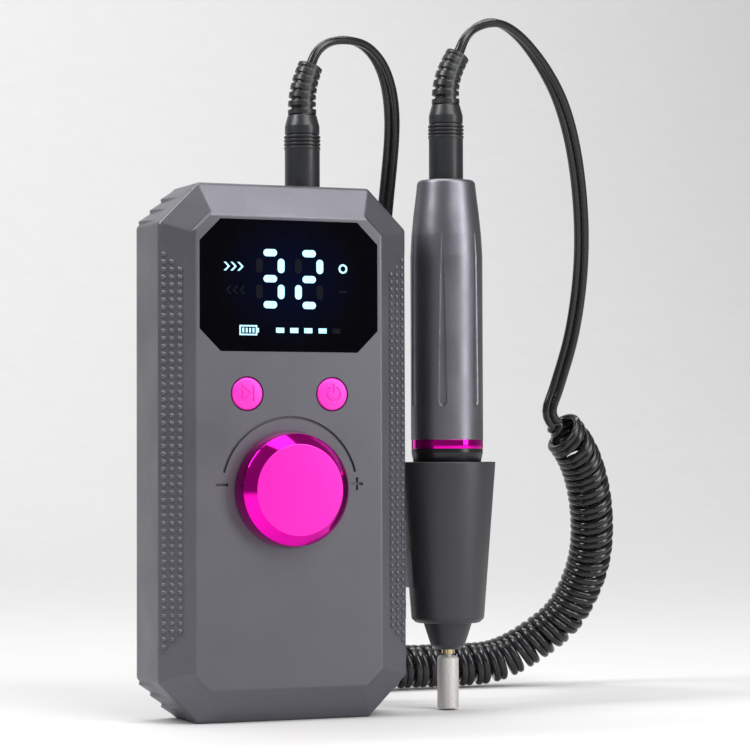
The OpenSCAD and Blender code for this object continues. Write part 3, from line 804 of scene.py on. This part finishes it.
class DeclareLeads(Making):
    """A step that does nothing"""

    bl_idname = "drill.declare_leads"
    bl_label = "Declare the lead"

    def make(self):
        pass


class MakeHousing(Making):
    """Makes the controller's housing with its bezel, corner pads, louvres and engraved scale"""

    bl_idname = "drill.housing"
    bl_label = "Housing"

    # points along the long, cut and short edges and round each corner
    LONG, CUT, SHORT, ARC = 118, 66, 60, 6
    # thickness of the walls and of the lip round the cover, and the back rim's chamfer
    WALL, LIP, BACK_EDGE = 2.0, 1.2, 0.45
    # softening of the creases of the bezel, of the pads and of the pads' inner steps
    CREASE, PAD_CREASE, STEP_CREASE = 0.3, 0.15, 0.1
    PAD_STEP = 1.0
    # the grip's recess: its middle and half length up the side, its width, depth and soft edge
    GRIP_MIDDLE, GRIP_REACH = 75.4, 56.2
    GRIP_WIDTH, GRIP_SINK, GRIP_EDGE = 6.45, 0.16, 0.3
    # the ribs on the cut corners: how many, where the first starts, and its steep side's share
    RIBS, RIB_START, RIB_STEEP = 3, 1.1, 0.1
    RIB_END_Y = -8.0
    # a face is level when its normal leans forward by at least this much
    LEVEL = 0.99995
    ENGRAVED = 0.9
    # radii of the socket's and the knob shaft's holes, and the slack round the charge port
    SOCKET_R, SHAFT_R, PORT_GAP = 4.5, 3.7, 0.25
    # the button caps' flange past their holes, and the lens's seat: its gap and its cut corner
    FLANGE, SEAT_GAP, LENS_CUT = 0.45, 0.1, 6.1
    # the window behind the lens: middle height, half width and half height
    WINDOW_Z, WINDOW_W, WINDOW_H = 121, 23, 13.5
    # the plus and minus beside the knob: height over its middle, half length and half width
    MARK_UP, MARK_LONG, MARK_THICK = 1.5, 1.8, 0.36

    def ring(self, inset, rounding):
        """Points of the outline moved in by inset, each edge an arc for its corner and then a run.

        The edge of each point is returned with it, -1 on an arc."""
        w, h, d = HALF_W - inset, CASE_H, inset
        c = millimetres("corner_cut") - (2 - math.sqrt(2)) * inset
        turns = np.array([
            (-w + c, d), (w - c, d), (w, d + c), (w, h - d - c),
            (w - c, h - d), (-w + c, h - d), (-w, h - d - c), (-w, d + c),
        ])
        reach = rounding * math.tan(math.pi / 8)
        runs = (self.SHORT, self.CUT, self.LONG, self.CUT) * 2
        out, edge = [], []
        theta = np.linspace(0, math.pi / 4, self.ARC)[:, None]
        for i in range(8):
            a = turns[i] - turns[i - 1]
            b = turns[(i + 1) % 8] - turns[i]
            a, b_unit = a / np.linalg.norm(a), b / np.linalg.norm(b)
            left = np.array([-a[1], a[0]])
            start = turns[i] - a * reach
            out.append(start + rounding * (left * (1 - np.cos(theta)) + a * np.sin(theta)))
            edge += [-1] * self.ARC
            low, high = turns[i] + b_unit * reach, turns[(i + 1) % 8] - b_unit * reach
            share = np.linspace(0, 1, runs[i] + 2)[1:-1, None]
            out.append(low + (high - low) * share)
            edge += [i] * runs[i]
        return np.vstack(out), np.array(edge)

    def climb(self, x, z):
        """Height of the bezel over the rim: the lowest of four slopes, the corner pads and the face.

        A slope is the distance from its edge times its steepness. A pad is the higher of its plane
        and of the steeper plane of its inner step."""
        top = RIM_Y - FACE_Y
        slope = top / millimetres("bezel_width")
        up, across = np.minimum(z, CASE_H - z), HALF_W - np.abs(x)
        width, rise = millimetres("pad_width"), millimetres("pad_rise")
        corner = (across + up - millimetres("corner_cut")) / math.sqrt(2)
        inner = rise + (corner - width) * self.PAD_STEP
        pad = upper_of(corner * rise / width, inner, self.STEP_CREASE)
        height = lower_of(across * slope, up * slope, self.CREASE)
        height = lower_of(height, pad, self.PAD_CREASE)
        height = lower_of(height, np.full_like(height, top), self.PAD_CREASE)
        # the grip's shallow recess, with ends cut at 45 degrees
        low = self.GRIP_MIDDLE - self.GRIP_REACH
        high = self.GRIP_MIDDLE + self.GRIP_REACH
        edge = np.minimum(self.GRIP_WIDTH - across, (z - low - across) / math.sqrt(2))
        edge = np.minimum(edge, (high - across - z) / math.sqrt(2))
        return height - self.GRIP_SINK * step(edge, 0, self.GRIP_EDGE)

    def make(self):
        patches = Patches()
        r = millimetres("edge_round")
        corner = millimetres("corner_round")
        turn = np.linspace(0, math.pi / 2, 7)
        wall_y = np.linspace(BACK_Y - self.BACK_EDGE, RIM_Y + r, 18)
        rows = [(self.BACK_EDGE, BACK_Y), (0.13, BACK_Y - 0.13)] + [(0.0, y) for y in wall_y]
        outer = []
        for inset, y in rows:
            outer.append(self.louvred(*self.ring(inset, corner), y))
        wall_last = len(outer) - 1
        for angle in turn[1:]:
            inset = r * (1 - math.cos(angle))
            ring, edge = self.ring(inset, corner)
            y = RIM_Y - self.climb(*ring.T) + r * (1 - math.sin(angle))
            outer.append(np.stack([ring[:, 0], y, ring[:, 1]], -1))
        # the bezel's rows stand closer together near the face
        for inset in np.concatenate([np.linspace(r + 0.25, 7.6, 24), np.linspace(7.8, 9.78, 13)]):
            ring, edge = self.ring(inset, max(0.3, corner * (1 - inset / 11)))
            y = RIM_Y - self.climb(*ring.T)
            outer.append(np.stack([ring[:, 0], y, ring[:, 1]], -1))
        outer[-1][:, 1] = FACE_Y
        outer = np.array(outer)
        # the flat part of the top wall is left out of the grid and filled round its two sockets
        top = np.flatnonzero(edge == 4)
        c0, c1 = top[0], top[-1]
        r0, r1 = 3, wall_last - 1
        skip = np.zeros((len(outer) - 1, outer.shape[1]), bool)
        skip[r0:r1, c0:c1] = True
        patches.grid(outer, wrap_columns=True, skip=skip)
        wall = []
        inside_rows = (
            (self.LIP, BACK_Y), (self.LIP, COVER_Y), (self.WALL, COVER_Y), (self.WALL, 6.0),
            (self.WALL, -8.0), (millimetres("bezel_width") + 0.4, FACE_Y + self.WALL),
        )
        for inset, y in inside_rows:
            ring, edge = self.ring(inset, 0.8)
            wall.append(np.stack([ring[:, 0], np.full(len(ring), y), ring[:, 1]], -1))
        wall = np.array(wall)
        hollow = np.zeros((len(wall) - 1, wall.shape[1]), bool)
        hollow[3, c0:c1] = True
        patches.grid(wall, wrap_columns=True, skip=hollow)
        patches.grid(np.stack([outer[0], wall[0]]), wrap_columns=True)
        self.top_wall(patches, outer, wall, c0, c1, r0, r1)
        self.front_face(patches, outer[-1], wall[-1])
        housing = patches.piece("controller_housing", sharp=32)
        # the level front face is shaded flat, so that its long thin triangles leave no streaks
        faces = housing.data.polygons
        lean = np.empty(len(faces) * 3)
        faces.foreach_get("normal", lean)
        faces.foreach_set("use_smooth", lean.reshape(-1, 3)[:, 1] > -self.LEVEL)
        settle(housing, "controller", "housing", "front_shell")

    def louvred(self, ring, edge, y):
        """Pushes the cut corners' points out into steep-sided ribs that die away towards the rim."""
        cut = millimetres("corner_cut")
        up = np.minimum(ring[:, 1], CASE_H - ring[:, 1])
        along = (cut - up) * math.sqrt(2)
        pitch = millimetres("louvre_pitch")
        place = (along - self.RIB_START) / pitch
        part = place - np.floor(place)
        steep = self.RIB_STEEP
        rib = np.where(part < steep, part / steep, (1 - part) / (1 - steep))
        rib = rib * ((place > 0) & (place < self.RIBS)) * np.isin(edge, (1, 3, 5, 7))
        push = millimetres("louvre_height") * rib * step(y, self.RIB_END_Y, BACK_Y)
        out = np.stack([np.sign(ring[:, 0]), np.sign(ring[:, 1] - CASE_H / 2)], -1) / math.sqrt(2)
        moved = ring + out * push[:, None]
        return np.stack([moved[:, 0], np.full(len(ring), y), moved[:, 1]], -1)

    def top_wall(self, patches, outer, wall, c0, c1, r0, r1):
        """Fills the flat top wall, outside and inside, round the output socket and the charge port."""
        def rim(rows, a, b):
            far, near = rows[b, c0 + 1:c1 + 1][::-1], rows[a + 1:b + 1, c0][::-1]
            return np.vstack([rows[a, c0:c1], rows[a:b, c1], far, near])

        socket = circle(JACK_X, 0, self.SOCKET_R, 40)
        middle = (USB_LOW + USB_HIGH) / 2
        r = (USB_HIGH[1] - USB_LOW[1]) / 2 + self.PORT_GAP
        half = (USB_HIGH[0] - USB_LOW[0]) / 2 + self.PORT_GAP - r
        # turned a little, so that no point falls where the round ends meet the straight sides
        turn = np.arange(32) * 2 * math.pi / 32 + 0.01
        port = np.stack([middle[0] + r * np.cos(turn) + half * np.sign(np.cos(turn)),
                         middle[1] + r * np.sin(turn)], -1)
        for rows, a, b, z in ((outer, r0, r1, CASE_H), (wall, 3, 4, CASE_H - self.WALL)):
            flat, tris = flat_region(rim(rows, a, b)[:, :2], [socket, port])
            patches.add(np.column_stack([flat, np.full(len(flat), z)]), tris)
        for loop in (socket, port):
            levels = [(*loop.T, np.full(len(loop), z)) for z in (CASE_H, CASE_H - self.WALL)]
            patches.grid(np.stack([np.column_stack(one) for one in levels]), wrap_columns=True)

    def front_face(self, patches, outer, inner):
        """Fills the front face round its openings, and sinks the lens seat and the engraved marks."""
        def octagon(gap):
            low, high = LENS_LOW - gap, LENS_HIGH + gap
            cut = self.LENS_CUT + (2 - math.sqrt(2)) * gap
            a, b, c, d = low[0], high[0], low[2], high[2]
            return np.array([(a + cut, c), (b - cut, c), (b, c + cut), (b, d - cut),
                             (b - cut, d), (a + cut, d), (a, d - cut), (a, c + cut)])

        def box(x, z, w, h):
            return np.array([(x - w, z - h), (x + w, z - h), (x + w, z + h), (x - w, z + h)])

        def level(loop, y):
            return np.column_stack([loop[:, 0], np.full(len(loop), y), loop[:, 1]])

        def wall(loop, y, end):
            patches.grid(np.stack([level(loop, y), level(loop, end)]), wrap_columns=True)

        def sheet(y, loop, holes=()):
            flat, tris = flat_region(loop, holes)
            patches.add(level(flat, y), tris)

        back = FACE_Y + self.WALL
        radius, half = millimetres("scale_radius"), millimetres("scale_width") / 2
        sweep = np.radians(np.linspace(14, 166, 77))[:, None]
        spoke = np.concatenate([np.cos(sweep), np.sin(sweep)], 1)
        scale = np.vstack([(radius + half) * spoke, (radius - half) * spoke[::-1]]) + (0, KNOB_Z)
        mark = KNOB_Z + self.MARK_UP
        a, b = self.MARK_LONG, self.MARK_THICK
        minus = box(-radius, mark, a, b)
        plus = np.array([(-a, -b), (-b, -b), (-b, -a), (b, -a), (b, -b), (a, -b),
                         (a, b), (b, b), (b, a), (-b, a), (-b, b), (-a, b)]) + (radius, mark)
        seat = octagon(self.SEAT_GAP)
        window = box(0, self.WINDOW_Z, self.WINDOW_W, self.WINDOW_H)
        buttons = []
        for node in ("direction_button", "power_button"):
            low, high = corners(node)
            x, z = (low[0] + high[0]) / 2, (low[2] + high[2]) / 2
            buttons.append(circle(x, z, (high[0] - low[0]) / 2 - self.FLANGE, 64))
        shaft = circle(0, KNOB_Z, self.SHAFT_R, 40)
        engraved = (scale, minus, plus)
        sheet(FACE_Y, outer[:, (0, 2)], [seat, *buttons, shaft, *engraved])
        sheet(back, inner[:, (0, 2)], [window, *buttons, shaft])
        for loop in (*buttons, shaft):
            wall(loop, FACE_Y, back)
        ledge = LENS_HIGH[1] + self.SEAT_GAP
        wall(seat, FACE_Y, ledge)
        sheet(ledge, seat, [window])
        wall(window, ledge, back)
        for loop in engraved:
            wall(loop, FACE_Y, FACE_Y + self.ENGRAVED)
            sheet(FACE_Y + self.ENGRAVED, loop)


class MakeGrip(Making):
    """Sets the rows of small domes in the recesses of both side bezels"""

    bl_idname = "drill.grip"
    bl_label = "Grip bumps"

    # each column's inset from the side, how many bumps the outermost has, and how many fewer follow
    COLUMNS, LONGEST, FEWER = (1.3, 3.35, 5.4), 52, 2
    ROOT, LIFT = -0.25, 0.15

    def make(self):
        pitch = millimetres("bump_pitch")
        r, h = millimetres("bump_width") / 2, millimetres("bump_height")
        slope = (RIM_Y - FACE_Y) / millimetres("bezel_width")
        # one dome: a part circle turned round its axis, closed underneath
        rise = [(0, self.ROOT), (r, self.ROOT), (r, 0.02), (0.80 * r, 0.62 * h),
                (0.45 * r, 0.92 * h), (0, h)]
        dome = revolved(rise, 10)
        seats = []
        for column, inset in enumerate(self.COLUMNS):
            count = self.LONGEST - self.FEWER * column
            z = MakeHousing.GRIP_MIDDLE + (np.arange(count) - (count - 1) / 2) * pitch
            seats.append(np.stack([np.full(count, inset), z], -1))
        inset, z = np.vstack(seats).T
        patches = Patches()
        for side in (-1, 1):
            # the dome's three axes: along the bezel's slope, upward, and out of the bezel
            along = np.array([side * -1.0, -slope, 0]) / math.hypot(1, slope)
            out = np.array([side * slope, -1.0, 0]) / math.hypot(1, slope)
            foot = np.column_stack([side * (HALF_W - inset), RIM_Y - slope * inset + self.LIFT, z])
            one = dome @ np.stack([along, (0, 0, 1.0), out])
            for at in foot:
                patches.grid(one + at, wrap_columns=True)
        grip = patches.piece("grip_bumps", sharp=60)
        settle(grip, "controller", "housing")


class MakeControls(Making):
    """Makes the speed knob and the two engraved push buttons"""

    bl_idname = "drill.controls"
    bl_label = "Knob and buttons"

    # a button's flange, the height and depth of its crown and icon, and where a stroke ends
    FLANGE, CROWN, SUNK = 0.8, 0.42, 0.3
    STROKE = (0.18, 0.38)

    def make(self):
        self.knob()
        for name, icon in (("direction_button", self.skip_icon), ("power_button", self.power_icon)):
            self.button(name, icon)

    def knob(self):
        r, h = KNOB_R, FACE_Y - KNOB_LOW[1]
        profile = [
            (3.05, 2.6, 0), (4.6, 2.6, 0.2), (4.6, 5, 0), (r - 2.8, 5, 0), (r - 2.4, 0.4, 0.2),
            (r, 0.4, 0.3), (r - 0.8, 5, 0.55), (r - 3.8, h, 0.5), (0, h, 0), (0, h - 1.5, 0),
            (3.05, h - 1.5, 0),
        ]
        knob = turned("speed_knob_cap", profile, True, (0, FACE_Y, KNOB_Z), 160, True, 30)
        settle(knob, "speed_knob", "magenta_gloss", "speed_knob")
        knob.data.materials.append(make_material("magenta_face"))
        centres = np.empty(len(knob.data.polygons) * 3)
        knob.data.polygons.foreach_get("center", centres)
        front = centres.reshape(-1, 3)[:, 1] < (FACE_Y - h + 0.06) * MM
        knob.data.polygons.foreach_set("material_index", front.astype(int))

    def button(self, name, icon):
        """A domed cap: rows of rising radius, sunk along its icon's strokes."""
        low, high = corners(name)
        centre = np.array([(low[0] + high[0]) / 2, high[1], (low[2] + high[2]) / 2])
        r = (high[0] - low[0]) / 2 - self.FLANGE
        proud = high[1] - low[1]
        radius = np.linspace(0, r - 0.5, 52)
        angle = np.arange(144) * 2 * math.pi / 144
        x, z = radius[:, None] * np.cos(angle), radius[:, None] * np.sin(angle)
        stroke = 1 - step(np.abs(icon(x, z)), *self.STROKE)
        crown = proud - self.CROWN * (x * x + z * z) / (r * r)
        rows = [np.stack([x, -(crown - self.SUNK * stroke), z], -1)]
        edge, rim_r = crown[-1, 0], r + self.FLANGE
        skirt = rounded([
            (radius[-1], edge, 0), (r - 0.2, edge - 0.12, 0.2), (r, edge - 0.5, 0.2), (r, 0.85, 0),
            (rim_r, 0.85, 0), (rim_r, 0.25, 0), (1.5, 0.25, 0), (1.5, 0, 0), (0, 0, 0)], False)[1:]
        rim = revolved(skirt, 144)
        rows.append(np.stack([rim[..., 0], -rim[..., 2], rim[..., 1]], -1))
        patches = Patches()
        patches.grid(np.vstack(rows) + centre, wrap_columns=True)
        cap = patches.piece(name + "_cap", sharp=50)
        settle(cap, name, "magenta_satin", name)

    @staticmethod
    def skip_icon(x, z):
        """Distance to the outline of a triangle pointing right, or to the bar after it."""
        sides = []
        turns = [(-1.95, -2.0), (0.75, 0.0), (-1.95, 2.0)]
        for (ax, az), (bx, bz) in zip(turns, turns[1:] + turns[:1]):
            dx, dz = bx - ax, bz - az
            t = np.clip(((x - ax) * dx + (z - az) * dz) / (dx * dx + dz * dz), 0, 1)
            sides.append(np.hypot(x - ax - t * dx, z - az - t * dz))
        bar = np.hypot(x - 1.4, z - np.clip(z, -1.9, 1.9))
        return np.minimum(np.minimum.reduce(sides), bar)

    @staticmethod
    def power_icon(x, z):
        """Distance to an open ring, or to the bar through its gap."""
        angle = np.arctan2(x, z)
        bound = np.clip(np.abs(angle), math.radians(36), math.pi) * np.sign(angle + 1e-9)
        ring = np.hypot(x - 1.95 * np.sin(bound), z - 1.95 * np.cos(bound))
        bar = np.hypot(x, z - np.clip(z, 0.4, 2.5))
        return np.minimum(ring, bar)


class MakeHolder(Making):
    """Turns the tapered holder cup"""

    bl_idname = "drill.holder"
    bl_label = "Holder cup"

    def make(self):
        low, high = CUP_LOW[2], CUP_HIGH[2]
        r = CUP_HIGH[0] - CUP_X
        profile = [
            (7.15, low, 0.2), (9.25, low, 0.7), (10.55, low + 1.2, 1.2), (r, high, 0.35),
            (11.6, high, 0.45), (9.6, low + 24, 0), (7.22, low + 1, 0),
        ]
        cup = turned("holder_cup_turned", profile, True, (CUP_X, 0, 0), 128)
        settle(cup, "controller", "cup_graphite", "holder_cup")


class MakeHandpiece(Making):
    """Makes the handpiece's fluted barrel, accent ring, collar and nose"""

    bl_idname = "drill.handpiece"
    bl_label = "Handpiece"

    STEPS = 400
    # the barrel's skin lies past this radius, in rows this far apart, and closer below DENSE_TO
    SKIN, ROW, DENSE_ROW, DENSE_TO = 9.35, 1.2, 0.3, 75
    # the flutes: how many, their turn, the reach of their round lower end, where they are widest,
    # where they end in a point, and the power by which they narrow
    FLUTES, TURN, ROUND_END, WIDEST, POINT, NARROWING = 6, -1, 1.8, 72, 121, 0.6

    def make(self):
        place = (CUP_X, 0, TIP_Z)
        r = BARREL_R
        outline = rounded([
            (9.3, 60.6, 0), (r, 60.6, 0.1), (r, 69, 0), (r, 74.5, 0), (r, 113.8, 8),
            (r - 0.35, 120, 10), (r - 1, 126.5, 10), (r - 1.7, 132, 8), (8.45, 135.3, 1.0),
            (7.9, 136, 0.5), (7.1, 136, 0.2), (7.1, 130, 0), (9.3, 112, 0),
        ], True, 8)
        dense = []
        for a, b in zip(outline, np.roll(outline, -1, axis=0)):
            spacing = self.DENSE_ROW if max(a[1], b[1]) < self.DENSE_TO else self.ROW
            skin = min(a[0], b[0]) > self.SKIN
            n = max(1, int(np.linalg.norm(b - a) / spacing)) if skin else 1
            dense.append(a + (b - a) * (np.arange(n) / n)[:, None])
        patches = Patches()
        rows = self.fluted(revolved(np.vstack(dense), self.STEPS))
        patches.grid(rows + np.asarray(place), wrap_rows=True, wrap_columns=True)
        shell = patches.piece("handpiece_barrel", sharp=40)
        settle(shell, "handpiece", "barrel_grey", "handpiece_shell")
        for node, body, slot, steps, profile in (
            ("accent_ring", "handpiece", "magenta_gloss", 128, [
                (r, 58.02, 0.08), (r, 60.58, 0.08), (7.65, 60.58, 0), (7.65, 58.02, 0)]),
            ("twist_collar", "twist_collar", "collar_black", 128, [
                (6.65, 28.2, 0), (8.6, 28.2, 0.2), (9.85, 54.2, 1.0), (r - 0.1, 56.8, 0.8),
                (r - 0.1, 58, 0.05), (6.65, 58, 0)]),
            ("nose_cone", "handpiece", "nose_graphite", 96, [
                (2.6, 0, 0.2), (3.6, 0, 0.35), (4.95, 1.2, 0.8), (7.1, 7.7, 2), (8.5, 28, 0.2),
                (6.7, 28, 0), (6.7, 15, 0), (5.55, 15, 0), (5.55, 7, 0), (2.6, 5.2, 0)]),
        ):
            settle(turned(node + "_turned", profile, True, place, steps), body, slot, node)

    def fluted(self, rows):
        """Sinks the flutes into the barrel's skin.

        A flute's cross-section is half an ellipse. Its half width falls from its widest place to
        nothing at its point by a power of the height left, and to nothing over its round end."""
        angle = np.arctan2(rows[..., 1], rows[..., 0])
        radial = np.hypot(rows[..., 0], rows[..., 1])
        share = math.pi / self.FLUTES
        near = (angle - math.radians(self.TURN) + share) % (2 * share) - share
        height = rows[..., 2]
        left = np.clip((self.POINT - height) / (self.POINT - self.WIDEST), 0, 1)
        below = np.maximum(self.WIDEST - height, 0) / self.ROUND_END
        width = left ** self.NARROWING * np.sqrt(np.clip(1 - below ** 2, 0, 1))
        width = np.maximum(millimetres("flute_half") * width, 0.001)
        across = np.sqrt(np.clip(1 - (near * radial / width) ** 2, 0, 1))
        depth = millimetres("flute_depth") * np.sqrt(width / width.max())
        sink = depth * across * (radial > self.SKIN)
        rows[..., :2] *= (1 - sink / np.maximum(radial, 1))[..., None]
        return rows


class MakePlugs(Making):
    """Makes both plugs' grips with their fine rings, and the slotted strain reliefs"""

    bl_idname = "drill.plugs"
    bl_label = "Plugs"

    # the grip's height, its fine rings: how many, the lowest, their spacing and both radii
    GRIP_H = 21.2
    RINGS, RING_LOW, RING_PITCH, RING_R, VALLEY_R = 4, 11.45, 1.05, 5.2, 4.66
    # the relief: ribs along it, where they begin, its core, its radius at the foot and its taper
    RIBS, PHASE, CORE, FOOT, TAPER = 6.6, 0.15, 3.1, 4.1, 0.55
    AROUND = 60
    SPINE = 0.93

    def make(self):
        for name, x, route in (
            ("controller_plug", JACK_X, CONTROLLER_RELIEF), ("handpiece_plug", CUP_X, HANDPIECE_RELIEF),
        ):
            z = route[0][2] - self.GRIP_H
            seat = corners(name)[0][2] - z
            profile = [(0, seat, 0), (5.0, seat, 0.3), (5.0, 11.3, 0.1)]
            for i in range(self.RINGS):
                low = self.RING_LOW + self.RING_PITCH * i
                profile += [(self.RING_R, low, 0.12), (self.RING_R, low + 0.6, 0.12),
                            (self.VALLEY_R, low + 0.7, 0), (self.VALLEY_R, low + 0.95, 0)]
            profile += [(4.95, 15.8, 0.1), (4.95, 18, 0.6)]
            profile += [(self.FOOT, self.GRIP_H, 0.4), (0, self.GRIP_H, 0)]
            grip = turned(name + "_grip", profile, False, (x, 0, z), 96)
            settle(grip, name, "overmould", name)
            self.relief(name, route)

    def relief(self, name, route):
        """A tapered sleeve cut by slots: full radius on the ribs and along a spine, front and back.

        The ribs are a wave along the route with steep flanks, and both ends stay whole."""
        path = smooth_path(route, 0.13)
        side = carried(path, (0, -1, 0))
        other = np.cross(headings(path), side)
        share = np.linspace(0, 1, len(path))
        angle = np.arange(self.AROUND) * 2 * math.pi / self.AROUND
        spine = step(np.abs(np.cos(angle)), 0.86, 0.93)
        phase = (share * self.RIBS + self.PHASE) % 1
        rib = step(phase, 0.22, 0.30) * (1 - step(phase, 0.86, 0.94))
        rib = np.maximum.reduce([rib, 1 - step(share, 0.0, 0.03), step(share, 0.90, 0.92)])
        full = self.FOOT - self.TAPER * share
        solid = np.maximum(rib[:, None], spine[None, :] * self.SPINE)
        r = self.CORE + (full[:, None] - self.CORE) * solid
        r = (r * (1 - 0.2 * step(share, 0.975, 1.0))[:, None])[..., None]
        round_it = np.cos(angle)[:, None], np.sin(angle)[:, None]
        rows = path[:, None] + r * (round_it[0] * side[:, None] + round_it[1] * other[:, None])
        piece = swept(name + "_relief", rows, path, 42)
        settle(piece, name, "overmould", name.replace("plug", "relief"))


class FinishFrame(Making):
    """Gives every CAD part that stays in view its own procedural finish"""

    bl_idname = "drill.finish_frame"
    bl_label = "Finish the frame"

    def make(self):
        slots = {s["node"]: s["material_slot"] for s in frame["record"]["subparts"]}
        for node, part in frame["nodes"].items():
            part.data.materials.clear()
            part.data.materials.append(make_material(slots[node]))


class DrillPanel(bpy.types.Panel):
    """Lists the making steps and their sizes and colours"""

    bl_idname = "VIEW3D_PT_nail_drill"
    bl_label = "Nail drill"
    bl_space_type = "VIEW_3D"
    bl_region_type = "UI"
    bl_category = "Nail drill"

    def draw(self, context):
        for step_class in STEPS:
            self.layout.operator(step_class.bl_idname, text=step_class.bl_label)
        for group in (context.scene.drill_sizes, context.scene.drill_colours):
            box = self.layout.box()
            for name in group.__annotations__:
                box.prop(group, name)


STEPS = (
    MakeStage, MakeLead, MakeHousing, MakeGrip, MakeControls, MakeHolder, MakeHandpiece, MakePlugs,
    DeclareLeads, FinishFrame,
)
CLASSES = (DrillSizes, DrillColours, *STEPS, DrillPanel)


def register():
    """Registers the classes and the scene's sizes and colours."""
    for one in CLASSES:
        bpy.utils.register_class(one)
    bpy.types.Scene.drill_sizes = bpy.props.PointerProperty(type=DrillSizes)
    bpy.types.Scene.drill_colours = bpy.props.PointerProperty(type=DrillColours)


def unregister():
    """Removes what register added."""
    del bpy.types.Scene.drill_colours
    del bpy.types.Scene.drill_sizes
    for one in reversed(CLASSES):
        bpy.utils.unregister_class(one)


def main():
    """Builds the whole drill."""
    register()
    for one in STEPS:
        getattr(bpy.ops.drill, one.bl_idname.split(".")[1])()


if __name__ == "__main__":
    main()
